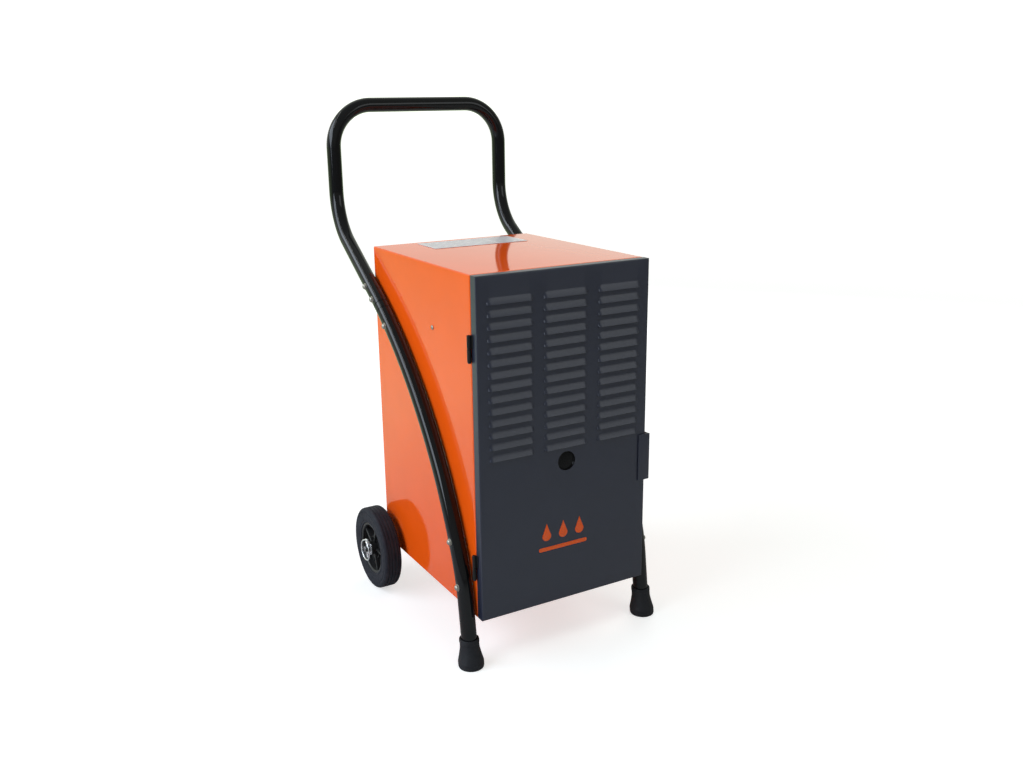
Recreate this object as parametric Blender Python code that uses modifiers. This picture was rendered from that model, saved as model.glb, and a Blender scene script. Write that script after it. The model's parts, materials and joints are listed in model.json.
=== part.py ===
"""A wheeled condensation dehumidifier, modelled in metres with +Z up.

The machine faces -Y. Everything is placed from the front door's face, through the empty
"dehumidifier", so that the ground under the middle of the whole machine is the origin.
"""

import math

import bmesh
import bpy
from mathutils import Matrix, Vector

# Whole machine
DOOR_FACE_TO_CENTRE = 0.28266  # from the door's face back to the middle of the whole machine
GAP = 0.0003  # between pieces that touch
SHEET = 0.0012  # folded steel sheet

# Cabinet
WIDTH = 0.340
HEIGHT = 0.600
GROUND_CLEARANCE = 0.089
DOOR_DEPTH = 0.017
CABINET_FRONT = 0.019
CABINET_REAR = 0.413
FRONT_FLANGE = 0.012
BOTTOM = GROUND_CLEARANCE
TOP = GROUND_CLEARANCE + HEIGHT
SIDE = WIDTH / 2
WHOLE_X = (-SIDE, SIDE)
INNER_X = (SHEET - SIDE, SIDE - SHEET)
BASE_FLOOR = BOTTOM + 0.004
SHELF_TOP = 0.105  # under the water tank
PANEL_SCREW = (0.162, 0.578)  # on the left side: y and z
LABEL_X = (-0.088, 0.112)
LABEL_Y = (0.312, 0.396)

# Louvers in the door
LOUVER_COLUMNS = (-0.108, -0.0015, 0.107)
LOUVER_ROWS = 14
LOUVER_PITCH = 0.02035
LOUVER_FIRST = 0.6415  # height of the first row's open lower edge
LOUVER_LENGTH = 0.086
LOUVER_HEIGHT = 0.012
LOUVER_RISE = 0.0045
SIGHT_CENTRE = (0.001, 0.351)
SIGHT_RADIUS = 0.0175

# Door hinges and pull
HINGE_AXIS = (-SIDE - 0.0042, 0.018)
HINGE_RADIUS = 0.0037
HINGE_LENGTH = 0.045
HINGE_HEIGHTS = {"upper": 0.570, "lower": 0.185}
HINGE_PIN_RADIUS = 0.0016
PULL_HEIGHT = (0.283, 0.371)
PULL_REACH = 0.0085  # past the door's free edge

# Tube frame
TUBE_RADIUS = 0.014
TUBE_WALL = 0.002
TUBE_RESOLUTION = 4  # twelve sides
SPIGOT_CLEARANCE = 0.0008
COLLAR_CLEARANCE = 0.0007
TUBE_X = SIDE + 0.0155
ARCH_CENTRE = (0.837, -0.093)
ARCH_RADIUS = 0.8365
ARCH_LOW_ANGLE = 19.8  # degrees above the horizontal through the arch's centre
ARCH_HIGH_ANGLE = 57.0
FOOT_BEND_RADIUS = 0.350
FOOT_LEAN = 7.5  # degrees from the vertical
JOINT_ANGLE = 54.5
COLLAR_ANGLE = 1.1
HANDLE_REAR = 0.5575
HANDLE_TOP = 0.9485
HANDLE_BEND_RADIUS = 0.115
HANDLE_CORNER_RADIUS = 0.080
HANDLE_BOLT_ANGLES = {"upper": 58.1, "lower": 55.6}
FRAME_BOLT_ANGLES = {"upper": 50.9, "middle": 22.05}
FOOT_BOLT_LEAN = 12.1  # the bend's lean from the vertical at the lowest bolt
BOLT_RADIUS = 0.003
BOLT_SIDES = 8

# Wheels
WHEEL_RADIUS = 0.0825
WHEEL_WIDTH = 0.036
WHEEL_Y = 0.393
WHEEL_OUTER_X = SIDE + 0.049
WHEEL_CENTRE_X = WHEEL_OUTER_X - WHEEL_WIDTH / 2
AXLE_RADIUS = 0.006
RIM_RADIUS = 0.052
HUB_RADIUS = 0.0135
SPOKES = 5
WHEEL_STEPS = 28
LINCH_X = WHEEL_OUTER_X + 0.0052
LINCH_PIN_RADIUS = 0.0024
LINCH_RING_RADIUS = 0.0205

# Water tank
TANK_X = (-0.106, 0.150)
TANK_Y = (0.054, 0.214)
TANK_Z = (0.1055, 0.300)
TANK_WALL = 0.0025
GRIP_HEIGHT = 0.245
FLOAT_PIVOT = (0.110, 0.2035, 0.255)

# Air path
COIL_X = 0.138
COIL_Z = (0.362, 0.652)
EVAPORATOR_Y = (0.048, 0.088)
CONDENSER_Y = (0.100, 0.140)
SHROUD_Y = 0.158
FAN_CENTRE = (0.0, 0.196, 0.507)
FAN_RADIUS = 0.118
FAN_BLADES = 5
COIL_BENDS = 3
TRAY_Y = (0.040, 0.152)
TRAY_Z = (0.337, 0.352)
SPOUT = (0.030, 0.100)
COMPRESSOR = (0.040, 0.306)
COMPRESSOR_HEIGHT = 0.190
PIPE_X = -0.152

# Outlet slots and mains inlet in the back
OUTLET_ROWS = 9
OUTLET_LOW = 0.400
OUTLET_PITCH = 0.0185
OUTLET_HEIGHT = 0.006
CORD_INLET = (0.130, 0.330)

# Controls on the back
PANEL_X = (-0.110, 0.110)
PANEL_Z = (0.592, 0.668)
SWITCH = (-0.080, 0.630)
SWITCH_TILT = 8  # degrees
KNOB = (-0.010, 0.630)
KNOB_OFF_ANGLE = 135  # degrees, from pointing up

ORANGE = (0.76, 0.09, 0.006)
ANTHRACITE = (0.032, 0.037, 0.048)
BLACK = (0.008, 0.008, 0.009)
STEEL = (0.62, 0.62, 0.63)


def new_collection(name, hidden=False):
    collection = bpy.data.collections.new(name)
    bpy.context.scene.collection.children.link(collection)
    collection.hide_render = hidden
    return collection


def clear_scene():
    for obj in list(bpy.data.objects):
        bpy.data.objects.remove(obj, do_unlink=True)


clear_scene()
PARTS = new_collection("dehumidifier_parts")
CUTTERS = new_collection("cutters", hidden=True)
ROOT = bpy.data.objects.new("dehumidifier", None)
ROOT.location = (0, -DOOR_FACE_TO_CENTRE, 0)
PARTS.objects.link(ROOT)


def material(name, color, roughness, metallic=0.0):
    made = bpy.data.materials.new(name)
    made.use_nodes = True
    shader = made.node_tree.nodes["Principled BSDF"]
    shader.inputs["Base Color"].default_value = (*color, 1.0)
    shader.inputs["Roughness"].default_value = roughness
    shader.inputs["Metallic"].default_value = metallic
    return made


# Shapes ---------------------------------------------------------------------------------


def finish_mesh(name, shape, smooth=False):
    mesh = bpy.data.meshes.new(name)
    bmesh.ops.recalc_face_normals(shape, faces=shape.faces)
    shape.to_mesh(mesh)
    shape.free()
    if smooth:
        mesh.shade_smooth()
        mesh.set_sharp_from_angle(angle=math.radians(40))
    return mesh


def box(name, x, y, z, bevel=0.0, bevel_along=None, segments=2):
    """A box from its limits on each axis. Edges along the named axes, or all of them, are rounded."""
    shape = bmesh.new()
    size = Vector((x[1] - x[0], y[1] - y[0], z[1] - z[0]))
    centre = Vector((x[0] + x[1], y[0] + y[1], z[0] + z[1])) / 2
    matrix = Matrix.Translation(centre) @ Matrix.Diagonal((*size, 1))
    bmesh.ops.create_cube(shape, size=1, matrix=matrix)
    if bevel:
        edges = [edge for edge in shape.edges if bevel_along is None or axis_of(edge) in bevel_along]
        bmesh.ops.bevel(shape, geom=edges, offset=bevel, segments=segments, profile=0.5, affect="EDGES")
    return finish_mesh(name, shape)


def axis_of(edge):
    along = edge.verts[0].co - edge.verts[1].co
    return "XYZ"[max(range(3), key=lambda i: abs(along[i]))]


TURN_TO = {
    "X": Matrix.Rotation(math.pi / 2, 4, "Y"),
    "Y": Matrix.Rotation(-math.pi / 2, 4, "X"),
    "Z": Matrix.Identity(4),
}


def cylinder(name, radius, start, end, axis="Z", at=(0, 0, 0), sides=16):
    """A cylinder along an axis, from start to end on it."""
    shape = bmesh.new()
    shift = Matrix.Translation((0, 0, (start + end) / 2))
    matrix = Matrix.Translation(at) @ TURN_TO[axis] @ shift
    bmesh.ops.create_cone(
        shape,
        cap_ends=True,
        segments=sides,
        radius1=radius,
        radius2=radius,
        depth=end - start,
        matrix=matrix,
    )
    return finish_mesh(name, shape, smooth=True)


def turned(name, profile, steps=24, axis="Z"):
    """A solid of revolution from a profile of (radius, height), top to bottom, turned to lie along axis."""
    shape = bmesh.new()
    corners = [shape.verts.new((radius, 0, height)) for radius, height in profile]
    for first, second in zip(corners, corners[1:]):
        shape.edges.new((first, second))
    if profile[0] == profile[-1]:
        shape.verts.remove(corners[-1])
        shape.edges.new((corners[-2], corners[0]))
    mesh = bpy.data.meshes.new(name)
    shape.to_mesh(mesh)
    shape.free()
    helper = bpy.data.objects.new(name, mesh)
    CUTTERS.objects.link(helper)
    screw = helper.modifiers.new("Screw", "SCREW")
    screw.steps = steps
    screw.render_steps = steps
    screw.use_merge_vertices = True
    screw.merge_threshold = 0.00001
    made = evaluated_mesh(helper, name)
    made.transform(TURN_TO[axis])
    bpy.data.objects.remove(helper)
    made.shade_smooth()
    made.set_sharp_from_angle(angle=math.radians(40))
    return made


def evaluated_mesh(obj, name):
    bpy.context.view_layer.update()
    graph = bpy.context.evaluated_depsgraph_get()
    mesh = bpy.data.meshes.new_from_object(obj.evaluated_get(graph))
    mesh.name = name
    shape = bmesh.new()
    shape.from_mesh(mesh)
    bmesh.ops.remove_doubles(shape, verts=shape.verts, dist=0.00001)
    shape.to_mesh(mesh)
    shape.free()
    return mesh


def swept(name, points, radius, resolution=2, capped=True, cyclic=False):
    """A round bar along a line of points."""
    curve = bpy.data.curves.new(name, "CURVE")
    curve.dimensions = "3D"
    curve.bevel_depth = radius
    curve.bevel_resolution = resolution
    curve.use_fill_caps = capped and not cyclic
    spline = curve.splines.new("POLY")
    spline.points.add(len(points) - 1)
    for point, place in zip(spline.points, points):
        point.co = (*place, 1)
    spline.use_cyclic_u = cyclic
    helper = bpy.data.objects.new(name, curve)
    CUTTERS.objects.link(helper)
    mesh = evaluated_mesh(helper, name)
    bpy.data.objects.remove(helper)
    mesh.shade_smooth()
    return mesh


def extruded(name, outline, thickness, holes=()):
    """A flat outline in XY, with holes, filled and given a thickness about Z = 0."""
    curve = bpy.data.curves.new(name, "CURVE")
    curve.dimensions = "2D"
    curve.fill_mode = "BOTH"
    curve.extrude = thickness / 2
    for line in (outline, *holes):
        spline = curve.splines.new("POLY")
        spline.points.add(len(line) - 1)
        for point, (x, y) in zip(spline.points, line):
            point.co = (x, y, 0, 1)
        spline.use_cyclic_u = True
    helper = bpy.data.objects.new(name, curve)
    CUTTERS.objects.link(helper)
    mesh = evaluated_mesh(helper, name)
    bpy.data.objects.remove(helper)
    return mesh


def ring_of_points(radius, count, centre=(0, 0), start=0.0, sweep=360.0):
    """Points evenly round a circle, or with both ends included on an arc."""
    steps = count if sweep == 360.0 else count - 1
    angles = [math.radians(start + sweep * i / steps) for i in range(count)]
    return [(centre[0] + radius * math.cos(a), centre[1] + radius * math.sin(a)) for a in angles]


# Objects --------------------------------------------------------------------------------


def part(name, mesh, finish, origin=(0, 0, 0), parent=None, built_at_origin=False):
    """A named piece. Its mesh is in the machine's frame, unless it was built at its own origin."""
    if not built_at_origin and tuple(origin) != (0, 0, 0):
        mesh.transform(Matrix.Translation(-Vector(origin)))
    obj = bpy.data.objects.new(name, mesh)
    mesh.materials.clear()
    mesh.materials.append(finish)
    obj.parent = parent or ROOT
    obj.location = origin
    PARTS.objects.link(obj)
    return obj


def tool(mesh, location=(0, 0, 0), rotation=(0, 0, 0)):
    """A helper body that is joined to a part or cut from it."""
    obj = bpy.data.objects.new(mesh.name, mesh)
    obj.parent = ROOT
    obj.location = location
    obj.rotation_euler = rotation
    obj.display_type = "WIRE"
    obj.hide_render = True
    CUTTERS.objects.link(obj)
    return obj


def combine(target, helper, operation):
    modifier = target.modifiers.new(operation.title(), "BOOLEAN")
    modifier.operation = operation
    modifier.solver = "EXACT"
    modifier.object = helper


def join(target, mesh, **place):
    combine(target, tool(mesh, **place), "UNION")


def cut(target, mesh, **place):
    combine(target, tool(mesh, **place), "DIFFERENCE")


def merged(name, meshes):
    """Separate bodies in one mesh, for a helper that joins or cuts many places at once."""
    shape = bmesh.new()
    for mesh in meshes:
        shape.from_mesh(mesh)
    made = bpy.data.meshes.new(name)
    shape.to_mesh(made)
    shape.free()
    return made


def moved(mesh, offset):
    made = mesh.copy()
    made.transform(Matrix.Translation(offset))
    return made


# Tube frame -----------------------------------------------------------------------------


def arch_point(angle, side=-1, x=TUBE_X):
    """A point on the frame tube's arch, by its angle in degrees."""
    turn = math.radians(angle)
    y = ARCH_CENTRE[0] - ARCH_RADIUS * math.cos(turn)
    z = ARCH_CENTRE[1] + ARCH_RADIUS * math.sin(turn)
    return Vector((side * x, y, z))


def arch_line(low, high, count, side=-1):
    return [arch_point(low + (high - low) * i / (count - 1), side) for i in range(count)]


def bend_point(lean, side):
    """A point on the bend between the leg and the arch, by its lean from the vertical in degrees."""
    start = arch_point(ARCH_LOW_ANGLE, side)
    turn, steepest = math.radians(lean), math.radians(ARCH_LOW_ANGLE)
    y = start.y - FOOT_BEND_RADIUS * (math.cos(turn) - math.cos(steepest))
    z = start.z - FOOT_BEND_RADIUS * (math.sin(steepest) - math.sin(turn))
    return Vector((side * TUBE_X, y, z))


def foot_line(side):
    """From the ground up to the start of the arch: a straight leg and a bend."""
    lean = math.radians(FOOT_LEAN)
    steps = 4
    bend = [bend_point(FOOT_LEAN + (ARCH_LOW_ANGLE - FOOT_LEAN) * i / steps, side) for i in range(steps)]
    leg_foot = 0.0085
    lowest = bend[0]
    foot_y = lowest.y - (lowest.z - leg_foot) * math.tan(lean)
    return [Vector((side * TUBE_X, foot_y, leg_foot)), *bend]


def handle_line(side):
    """One arm of the handle, from its lower end up to the top bar's corner."""
    arm = arch_line(JOINT_ANGLE, ARCH_HIGH_ANGLE, 3, side)
    slope = math.radians(90 - ARCH_HIGH_ANGLE)
    end = arm[-1]
    corner = Vector((end.x, HANDLE_REAR, end.z + (HANDLE_REAR - end.y) * math.tan(slope)))
    reach = HANDLE_BEND_RADIUS * math.tan((math.pi / 2 - slope) / 2)
    centre_y = HANDLE_REAR - HANDLE_BEND_RADIUS
    centre_z = corner.z + reach
    steps = 5
    for i in range(steps + 1):
        turn = slope - math.pi / 2 + (math.pi / 2 - slope) * i / steps
        y = centre_y + HANDLE_BEND_RADIUS * math.cos(turn)
        z = centre_z + HANDLE_BEND_RADIUS * math.sin(turn)
        arm.append(Vector((end.x, y, z)))
    corner_x = TUBE_X - HANDLE_CORNER_RADIUS
    corner_z = HANDLE_TOP - HANDLE_CORNER_RADIUS
    steps = 6
    for i in range(steps + 1):
        turn = math.pi / 2 * i / steps
        x = corner_x + HANDLE_CORNER_RADIUS * math.cos(turn)
        z = corner_z + HANDLE_CORNER_RADIUS * math.sin(turn)
        arm.append(Vector((side * x, HANDLE_REAR, z)))
    return arm


def hollow_tube(name, points, finish):
    """A steel tube: an open swept surface, thickened inwards."""
    obj = part(name, swept(name, points, TUBE_RADIUS, TUBE_RESOLUTION, capped=False), finish)
    wall = obj.modifiers.new("Wall", "SOLIDIFY")
    wall.thickness = TUBE_WALL
    wall.offset = -1
    wall.use_rim = True
    return obj


def frame_bolt_places(side):
    """Where the frame tube is bolted to the cabinet. The lowest bolt is in the bend above the foot."""
    places = {name: arch_point(angle, side) for name, angle in FRAME_BOLT_ANGLES.items()}
    places["lower"] = bend_point(FOOT_BOLT_LEAN, side)
    return places


def through_hole(target, place, half_length=0.03):
    mesh = cylinder("bolt_hole", BOLT_RADIUS + GAP, -half_length, half_length, "X", sides=BOLT_SIDES)
    cut(target, mesh, location=place)


def bolt_mesh(name, side, grip, nut):
    """A domed head outboard of the tube and a shank about the X axis at the origin, with a nut inboard."""
    head_x = TUBE_RADIUS + GAP
    profile = [(0, head_x + 0.0055), (0.0042, head_x + 0.0043), (0.0066, head_x), (BOLT_RADIUS, head_x)]
    if nut:
        nut_x = -grip
        profile += [(BOLT_RADIUS, nut_x), (0.0062, nut_x), (0.0062, nut_x - 0.005), (0, nut_x - 0.005)]
    else:
        profile += [(BOLT_RADIUS, -grip), (0, -grip)]
    mesh = turned(name, profile, steps=BOLT_SIDES, axis="X")
    return mesh if side > 0 else turned_about_z(mesh)


def turned_about_z(mesh):
    mesh.transform(Matrix.Rotation(math.pi, 4, "Z"))
    return mesh


def make_frame():
    black_paint = material("black_gloss_paint", BLACK, 0.18)
    zinc = material("zinc_steel", STEEL, 0.32, 1.0)
    rubber = material("black_rubber", (0.012, 0.012, 0.013), 0.75)
    left, right = handle_line(-1), handle_line(1)
    handle = hollow_tube("handle_bar", left + right[::-1], black_paint)
    for side, name in ((-1, "left"), (1, "right")):
        line = foot_line(side) + arch_line(ARCH_LOW_ANGLE, JOINT_ANGLE - COLLAR_ANGLE, 13, side)
        tube = hollow_tube(f"frame_tube_{name}", line, black_paint)
        joint = make_tube_joint(name, side, black_paint)
        for place_name, angle in HANDLE_BOLT_ANGLES.items():
            place = arch_point(angle, side)
            through_hole(handle, place)
            through_hole(joint, place)
            bolt = bolt_mesh("handle_bolt", side, TUBE_RADIUS - 0.001, False)
            part(f"handle_bolt_{name}_{place_name}", bolt, zinc, origin=place, built_at_origin=True)
        for place_name, place in frame_bolt_places(side).items():
            through_hole(tube, place)
            bolt = bolt_mesh("frame_bolt", side, TUBE_X - SIDE + SHEET + GAP, True)
            part(f"frame_bolt_{name}_{place_name}", bolt, zinc, origin=place, built_at_origin=True)
        make_foot(name, side, line, rubber)


def make_tube_joint(name, side, finish):
    """A spigot inside both tubes, with a collar of the tubes' own diameter between them."""
    inner = TUBE_RADIUS - TUBE_WALL - SPIGOT_CLEARANCE
    spigot = arch_line(JOINT_ANGLE - COLLAR_ANGLE - 1.7, HANDLE_BOLT_ANGLES["upper"] - 1.4, 6, side)
    spigot.append(extended(spigot, 0.024))
    joint = part(f"tube_joint_{name}", swept("spigot", spigot, inner, TUBE_RESOLUTION), finish)
    ends = JOINT_ANGLE - COLLAR_ANGLE, JOINT_ANGLE
    margin = math.degrees(COLLAR_CLEARANCE / ARCH_RADIUS)
    collar = arch_line(ends[0] + margin, ends[1] - margin, 2, side)
    join(joint, swept("collar", collar, TUBE_RADIUS, TUBE_RESOLUTION))
    return joint


def extended(line, length):
    """The point that lies further along the line's last stretch."""
    direction = (line[-1] - line[-2]).normalized()
    return line[-1] + direction * length


def make_foot(name, side, line, finish):
    """A rubber ferrule pushed over the tube's lower end."""
    bore = TUBE_RADIUS + GAP
    profile = [
        (0.0170, 0.052),
        (0.0176, 0.050),
        (0.0176, 0.036),
        (0.0190, 0.028),
        (0.0226, 0.012),
        (0.0230, 0.008),
        (0.0230, 0.0),
        (0, 0.0),
    ]
    mesh = turned(f"foot_{name}", [(0, 0.052), *profile], steps=20)
    slope = (line[1] - line[0]).normalized()
    for vertex in mesh.vertices:
        vertex.co.y += vertex.co.z * slope.y / slope.z
    place = line[0] - slope * (line[0].z / slope.z)
    foot = part(f"foot_{name}", mesh, finish, origin=place, built_at_origin=True)
    tip = line[0] - slope * GAP - place
    bore_mesh = swept("foot_bore", [tip, tip + slope * 0.09], bore, 10)
    cut(foot, bore_mesh, location=place)


# Wheels ---------------------------------------------------------------------------------


def make_wheels():
    tyre_rubber = material("tyre_rubber", (0.014, 0.014, 0.015), 0.8)
    hub_plastic = material("black_plastic", (0.012, 0.012, 0.014), 0.45)
    bright_steel = material("bright_steel", (0.72, 0.72, 0.73), 0.15, 1.0)
    axle_steel = material("axle_steel", (0.5, 0.5, 0.5), 0.35, 1.0)
    end = WHEEL_OUTER_X + 0.0120
    axle_mesh = cylinder("axle", AXLE_RADIUS, -end, end, "X", at=(0, WHEEL_Y, WHEEL_RADIUS), sides=16)
    axle = part("axle", axle_mesh, axle_steel)
    for side, name in ((-1, "left"), (1, "right")):
        centre = (side * WHEEL_CENTRE_X, WHEEL_Y, WHEEL_RADIUS)
        part(f"wheel_tyre_{name}", tyre_mesh(name), tyre_rubber, origin=centre, built_at_origin=True)
        make_hub(name, centre, hub_plastic)
        make_linch_pin(name, side, axle, bright_steel)


def tyre_mesh(name):
    half, outer, shoulder = WHEEL_WIDTH / 2, WHEEL_RADIUS, 0.0055
    bead = RIM_RADIUS + GAP
    profile = [
        (bead, half - 0.002),
        (outer - shoulder, half),
        (outer - shoulder * 0.3, half - shoulder * 0.3),
        (outer, half - shoulder),
    ]
    far_side = [(radius, -height) for radius, height in reversed(profile)]
    return turned(f"wheel_tyre_{name}", [*profile, *far_side, profile[0]], steps=WHEEL_STEPS, axis="X")


def make_hub(name, centre, finish):
    """A moulded rim and boss joined by spokes, open between them."""
    half = WHEEL_WIDTH / 2
    rim_half = half - 0.003
    bore = AXLE_RADIUS + GAP
    inner = RIM_RADIUS - 0.005
    rim = [(inner, rim_half), (RIM_RADIUS, rim_half), (RIM_RADIUS, -rim_half), (inner, -rim_half)]
    mesh = turned(f"wheel_hub_{name}", [*rim, rim[0]], steps=WHEEL_STEPS, axis="X")
    hub = part(f"wheel_hub_{name}", mesh, finish, origin=centre, built_at_origin=True)
    spokes = []
    for i in range(SPOKES):
        spoke = box("spoke", (-0.009, 0.009), (-0.0045, 0.0045), (HUB_RADIUS - 0.003, inner + 0.0025))
        spoke.transform(Matrix.Rotation(2 * math.pi * i / SPOKES, 4, "X"))
        spokes.append(spoke)
    join(hub, merged("spokes", spokes), location=centre)
    boss = [(bore, half), (HUB_RADIUS, half), (HUB_RADIUS, -half), (bore, -half)]
    join(hub, turned("boss", [*boss, boss[0]], steps=16, axis="X"), location=centre)


def make_linch_pin(name, side, axle, finish):
    """A washer outside the wheel, and a pin through the axle that holds it, with a sprung ring."""
    washer_profile = [
        (AXLE_RADIUS + GAP, 0.0015),
        (0.0135, 0.0015),
        (0.0135, 0.0),
        (AXLE_RADIUS + GAP, 0.0),
        (AXLE_RADIUS + GAP, 0.0015),
    ]
    washer = turned(f"axle_washer_{name}", washer_profile, steps=12, axis="X")
    washer_x = WHEEL_OUTER_X + GAP if side > 0 else -WHEEL_OUTER_X - GAP - 0.0015
    place = (washer_x, WHEEL_Y, WHEEL_RADIUS)
    part(f"axle_washer_{name}", washer, finish, origin=place, built_at_origin=True)
    centre = (side * LINCH_X, WHEEL_Y, WHEEL_RADIUS)
    cut(axle, cylinder("pin_hole", LINCH_PIN_RADIUS + GAP, -0.02, 0.02, sides=12), location=centre)
    pin_mesh = cylinder("pin", LINCH_PIN_RADIUS, -0.019, 0.016, sides=12)
    pin = part(f"linch_pin_{name}", pin_mesh, finish, origin=centre, built_at_origin=True)
    head = box("pin_head", (-0.0030, 0.0030), (-0.0045, 0.0045), (0.0145, 0.0215), bevel=0.001, segments=1)
    join(pin, head, location=centre)
    pivot = (side * LINCH_X, WHEEL_Y, WHEEL_RADIUS + 0.018)
    cut(pin, cylinder("ring_hole", 0.0013 + GAP, -0.01, 0.01, "Y", sides=10), location=pivot)
    part(f"linch_ring_{name}", ring_mesh(name, side), finish, origin=pivot, built_at_origin=True)


def ring_mesh(name, side):
    """A wire ring that hangs just outboard of the axle's end, with its top run through the pin's head."""
    half_gap = 14
    top = LINCH_RING_RADIUS * math.cos(math.radians(half_gap))
    loop = ring_of_points(LINCH_RING_RADIUS, 22, start=90 + half_gap, sweep=360 - 2 * half_gap)
    line = [Vector((side * 0.0045, y, z - top)) for y, z in loop]
    line = [Vector((0, -0.0062, 0)), *line, Vector((0, 0.0062, 0))]
    return swept(f"linch_ring_{name}", line, 0.0011, resolution=1, cyclic=True)


# Cabinet --------------------------------------------------------------------------------


def make_cabinet():
    orange_paint = material("orange_gloss_paint", ORANGE, 0.16)
    cover = part(
        "cabinet_cover",
        box("cabinet_cover", WHOLE_X, (CABINET_FRONT, CABINET_REAR), (BOTTOM, TOP), 0.0018, "YZ"),
        orange_paint,
    )
    inside_y = (CABINET_FRONT + SHEET, CABINET_REAR + 0.01)
    cut(cover, box("cover_inside", INNER_X, inside_y, (BOTTOM - 0.01, TOP - SHEET)))
    opening_x = (FRONT_FLANGE - SIDE, SIDE - FRONT_FLANGE)
    cut(cover, box("front_opening", opening_x, (0.010, 0.030), (BOTTOM - 0.01, TOP - FRONT_FLANGE)))
    for side in (-1, 1):
        for place in frame_bolt_places(side).values():
            through_hole(cover, Vector((side * SIDE, place.y, place.z)), half_length=0.005)
    screw_hole = cylinder("screw_hole", 0.0022 + GAP, -0.004, 0.004, "X", sides=8)
    cut(cover, screw_hole, location=(-SIDE, *PANEL_SCREW))
    make_panel_screw()
    make_base(orange_paint)
    make_rear_panel(orange_paint)
    make_divider()
    label = material("silver_label", (0.62, 0.63, 0.64), 0.4, 0.5)
    label_mesh = box("rating_label", LABEL_X, LABEL_Y, (TOP + GAP, TOP + GAP + 0.0005))
    part("rating_label", label_mesh, label)


def make_panel_screw():
    """A domed screw that holds the cover's left side to a bracket inside."""
    profile = [(0, 0.0022), (0.003, 0.0017), (0.0041, 0.0), (0.0022, 0), (0.0022, -0.007), (0, -0.0095)]
    mesh = turned_about_z(turned("panel_screw", profile, steps=12, axis="X"))
    zinc = bpy.data.materials["zinc_steel"]
    part("panel_screw", mesh, zinc, origin=(-SIDE - GAP, *PANEL_SCREW), built_at_origin=True)


def make_base(finish):
    """A shallow tray, open below, with a saddle on each side that holds the axle."""
    x = (INNER_X[0] + GAP, INNER_X[1] - GAP)
    y = (CABINET_FRONT + SHEET + GAP, CABINET_REAR - SHEET - GAP)
    base = part("base_tray", box("base_tray", x, y, (BOTTOM, BASE_FLOOR + 0.0015)), finish)
    hollow_x, hollow_y = (x[0] + 0.0015, x[1] - 0.0015), (y[0] + 0.0015, y[1] - 0.0015)
    cut(base, box("base_hollow", hollow_x, hollow_y, (BOTTOM - 0.01, BASE_FLOOR)))
    for side in (-1, 1):
        saddle_x = sorted((side * (SIDE - 0.030), side * (SIDE - 0.006)))
        saddle_y = (WHEEL_Y - 0.0105, WHEEL_Y + 0.0105)
        saddle_z = (WHEEL_RADIUS - 0.0105, BASE_FLOOR + 0.0008)
        join(base, box("axle_saddle", saddle_x, saddle_y, saddle_z, 0.002, "X"))
    bore = cylinder("axle_bore", AXLE_RADIUS + GAP, -0.2, 0.2, "X", at=(0, WHEEL_Y, WHEEL_RADIUS), sides=16)
    cut(base, bore)


def make_rear_panel(finish):
    """A flat back with side flanges, air outlet slots and an opening for the controls."""
    x = (INNER_X[0] + GAP, INNER_X[1] - GAP)
    z = (BASE_FLOOR + 0.002 + GAP, TOP - SHEET - GAP)
    mesh = box("rear_panel", x, (CABINET_REAR - 0.010, CABINET_REAR), z)
    panel = part("rear_panel", mesh, finish)
    flange_x, flange_z = (x[0] + SHEET, x[1] - SHEET), (z[0] - 0.01, z[1] + 0.01)
    cut(panel, box("rear_hollow", flange_x, (CABINET_REAR - 0.02, CABINET_REAR - SHEET), flange_z))
    through_y = (CABINET_REAR - 0.02, CABINET_REAR + 0.01)
    slots = []
    for row in range(OUTLET_ROWS):
        low = OUTLET_LOW + row * OUTLET_PITCH
        for slot_x in ((-0.128, -0.006), (0.006, 0.128)):
            slots.append(box("slot", slot_x, through_y, (low, low + OUTLET_HEIGHT)))
    cut(panel, merged("outlet_slots", slots))
    cut(panel, box("control_opening", inset(PANEL_X, 0.008), through_y, inset(PANEL_Z, 0.008)))
    inlet = cylinder("inlet_hole", 0.0085, -0.02, 0.01, "Y", at=(CORD_INLET[0], CABINET_REAR, CORD_INLET[1]))
    cut(panel, inlet)


def inset(limits, by):
    """Limits moved inwards by a distance at each end."""
    return (limits[0] + by, limits[1] - by)


def make_divider():
    """The tank's bay: a shelf under it and a wall behind it, folded from one galvanised sheet."""
    galvanised = material("galvanised_steel", (0.45, 0.46, 0.47), 0.45, 1.0)
    x = inset(INNER_X, 0.002)
    front, back = 0.024, 0.2212
    low = BASE_FLOOR + 0.004
    shelf = box("bay_divider", x, (front, back), (SHELF_TOP - SHEET, SHELF_TOP))
    divider = part("bay_divider", shelf, galvanised)
    join(divider, box("bay_wall", x, (back - SHEET, back), (low, TRAY_Z[0] - 0.003)))
    join(divider, box("front_lip", x, (front, front + SHEET), (low, SHELF_TOP)))


# Door -----------------------------------------------------------------------------------


def make_door():
    anthracite_paint = material("anthracite_paint", ANTHRACITE, 0.42)
    mesh = box("front_door", WHOLE_X, (0, DOOR_DEPTH), (BOTTOM, TOP), 0.0016, None)
    axis_point = (*HINGE_AXIS, 0)
    door = part("front_door", mesh, anthracite_paint, origin=axis_point)
    hollow_z = (BOTTOM + SHEET, TOP - SHEET)
    cut(door, box("door_hollow", INNER_X, (SHEET, DOOR_DEPTH + 0.01), hollow_z))
    add_louvers(door)
    sight = (SIGHT_CENTRE[0], 0, SIGHT_CENTRE[1])
    cut(door, cylinder("sight_hole", SIGHT_RADIUS, -0.01, 0.01, "Y", sides=24), location=sight)
    make_sight_window(sight, door)
    add_door_pull(door, anthracite_paint)
    make_filter(door)
    make_hinges(door)
    make_magnet()


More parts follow.
